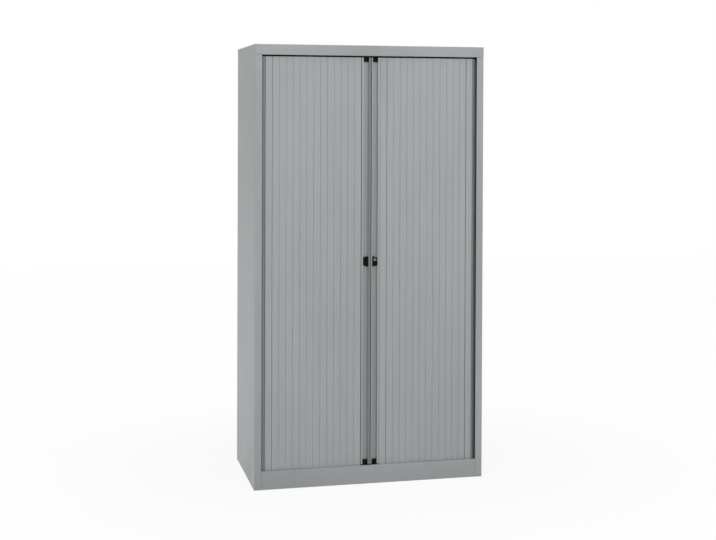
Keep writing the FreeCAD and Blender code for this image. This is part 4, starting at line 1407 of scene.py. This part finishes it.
@dataclass
class PhotoCamera:
    """Camera at the photograph's place and angle."""

    place: Triple = (-1.3246, -5.1040, 1.5751)
    yaw: float = 12.0
    pitch: float = -0.71
    roll: float = -0.18
    focal_pixels: float = 1189.4
    centre: Point = (304.65, 127.40)
    sensor: float = 36.0
    reach: float = 60.0

    def build(self) -> None:
        """Makes the camera and sets it as the scene's."""
        data = bpy.data.cameras.new("photo_camera")
        data.sensor_width = self.sensor
        data.lens = self.sensor * self.focal_pixels / IMAGE_WIDTH
        data.shift_x = (IMAGE_WIDTH / 2 - self.centre[0]) / IMAGE_WIDTH
        data.shift_y = (self.centre[1] - IMAGE_HEIGHT / 2) / IMAGE_WIDTH
        data.clip_end = self.reach
        camera = bpy.data.objects.new("photo_camera", data)
        bpy.context.scene.collection.objects.link(camera)
        turn = Euler((math.radians(90 + self.pitch), 0.0, math.radians(-self.yaw)), "XYZ").to_matrix()
        turn = turn @ Matrix.Rotation(math.radians(-self.roll), 3, "Z")
        camera.matrix_world = Matrix.Translation(self.place) @ turn.to_4x4()
        bpy.context.scene.camera = camera


@dataclass(frozen=True)
class Lamp:
    """A soft square lamp: its place, what it points at, its side and its power in watts."""

    name: str
    place: Triple
    aim: Triple
    size: float
    power: float

    def build(self) -> None:
        """Hangs the lamp."""
        data = bpy.data.lights.new(self.name, "AREA")
        data.size = self.size
        data.energy = self.power
        lamp = bpy.data.objects.new(self.name, data)
        lamp.visible_camera = False
        bpy.context.scene.collection.objects.link(lamp)
        turn = (Vector(self.aim) - Vector(self.place)).to_track_quat("-Z", "Y")
        lamp.matrix_world = Matrix.Translation(self.place) @ turn.to_matrix().to_4x4()


@dataclass
class Studio:
    """Pale floor, backdrop colour and soft lamps."""

    floor_size: float = 14.0
    floor_drop: float = 0.0004
    floor_colour: Colour = (0.86, 0.86, 0.86)
    floor_scale: Triple = (0.30, 0.42, 1.0)
    near_white: float = 0.90
    far_white: float = 0.08
    world_light: float = 0.335
    lamps: tuple[Lamp, ...] = (
        Lamp("key", (-1.4, -4.9, 3.6), (0.0, 0.0, 1.0), 2.6, 95.0),
        Lamp("fill", (3.4, -3.8, 2.2), (0.0, 0.0, 0.9), 3.0, 40.0),
        Lamp("top", (0.0, -0.6, 4.6), (0.0, 0.0, 0.9), 3.0, 40.0),
        Lamp("low", (-2.0, -0.1, 0.2), (-0.5, 0.0, 0.25), 0.8, 6.0),
    )

    def build(self) -> None:
        """Makes floor, world and lamps."""
        self.floor()
        self.world()
        for lamp in self.lamps:
            lamp.build()

    def floor(self) -> None:
        """Plain pale floor that keeps the object's shadow but shows white behind it."""
        mesh = bpy.data.meshes.new("floor")
        shape = bmesh.new()
        bmesh.ops.create_grid(shape, x_segments=1, y_segments=1, size=self.floor_size / 2)
        bmesh.ops.translate(shape, verts=shape.verts, vec=(0, 0, -self.floor_drop))
        shape.to_mesh(mesh)
        shape.free()
        plane = bpy.data.objects.new("floor", mesh)
        bpy.context.scene.collection.objects.link(plane)
        s = Shader("floor")
        place = {0: s.mapped(self.floor_scale)}
        distance = s.node("ShaderNodeVectorMath", {"operation": "LENGTH"}, place, "Value")
        body = s.raw("ShaderNodeBsdfPrincipled", None, {
            "Base Color": (*self.floor_colour, 1.0), "Roughness": 0.75, "Specular IOR Level": 0.2,
        })
        share = distance.step(0.18, 0.60) * self.far_white + self.near_white
        s.backed(s.seen() * share, body)
        mesh.materials.append(s.owner)

    def world(self) -> None:
        """White world to look at and a soft even light on the object."""
        s = Shader("studio", world=True)
        bpy.context.scene.world = s.owner
        soft = s.raw("ShaderNodeBackground", None, {"Color": (*WHITE, 1.0), "Strength": self.world_light})
        s.backed(s.seen(), soft)


OPEN_JOINTS = {Side.LEFT: {0: 0.5, 1: 0.7}, Side.RIGHT: {0: 0.9, 1: 1.2, 13: 0.9}}


def main() -> None:
    """Builds the scene."""
    logging.basicConfig(level=logging.INFO, format="%(name)s: %(message)s")
    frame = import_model()
    bpy.context.scene.view_settings.view_transform = "Standard"
    finishes = Finishes()
    finishes.dress_frame(frame)
    shop = Workshop(finishes)
    for side in Side:
        Curtain(shop, side, open_gaps=OPEN_JOINTS[side]).build()
        LeadRail(shop, side).build()
        LeadCaps(shop, side).build()
    Grip(shop, Side.LEFT, node="left_keeper").build()
    Grip(shop, Side.RIGHT, node="lock_housing").build()
    Lock(shop).build()
    Fittings(shop).build()
    Carcass(shop).build()
    PhotoCamera().build()
    Studio().build()


if __name__ == "__main__":
    main()
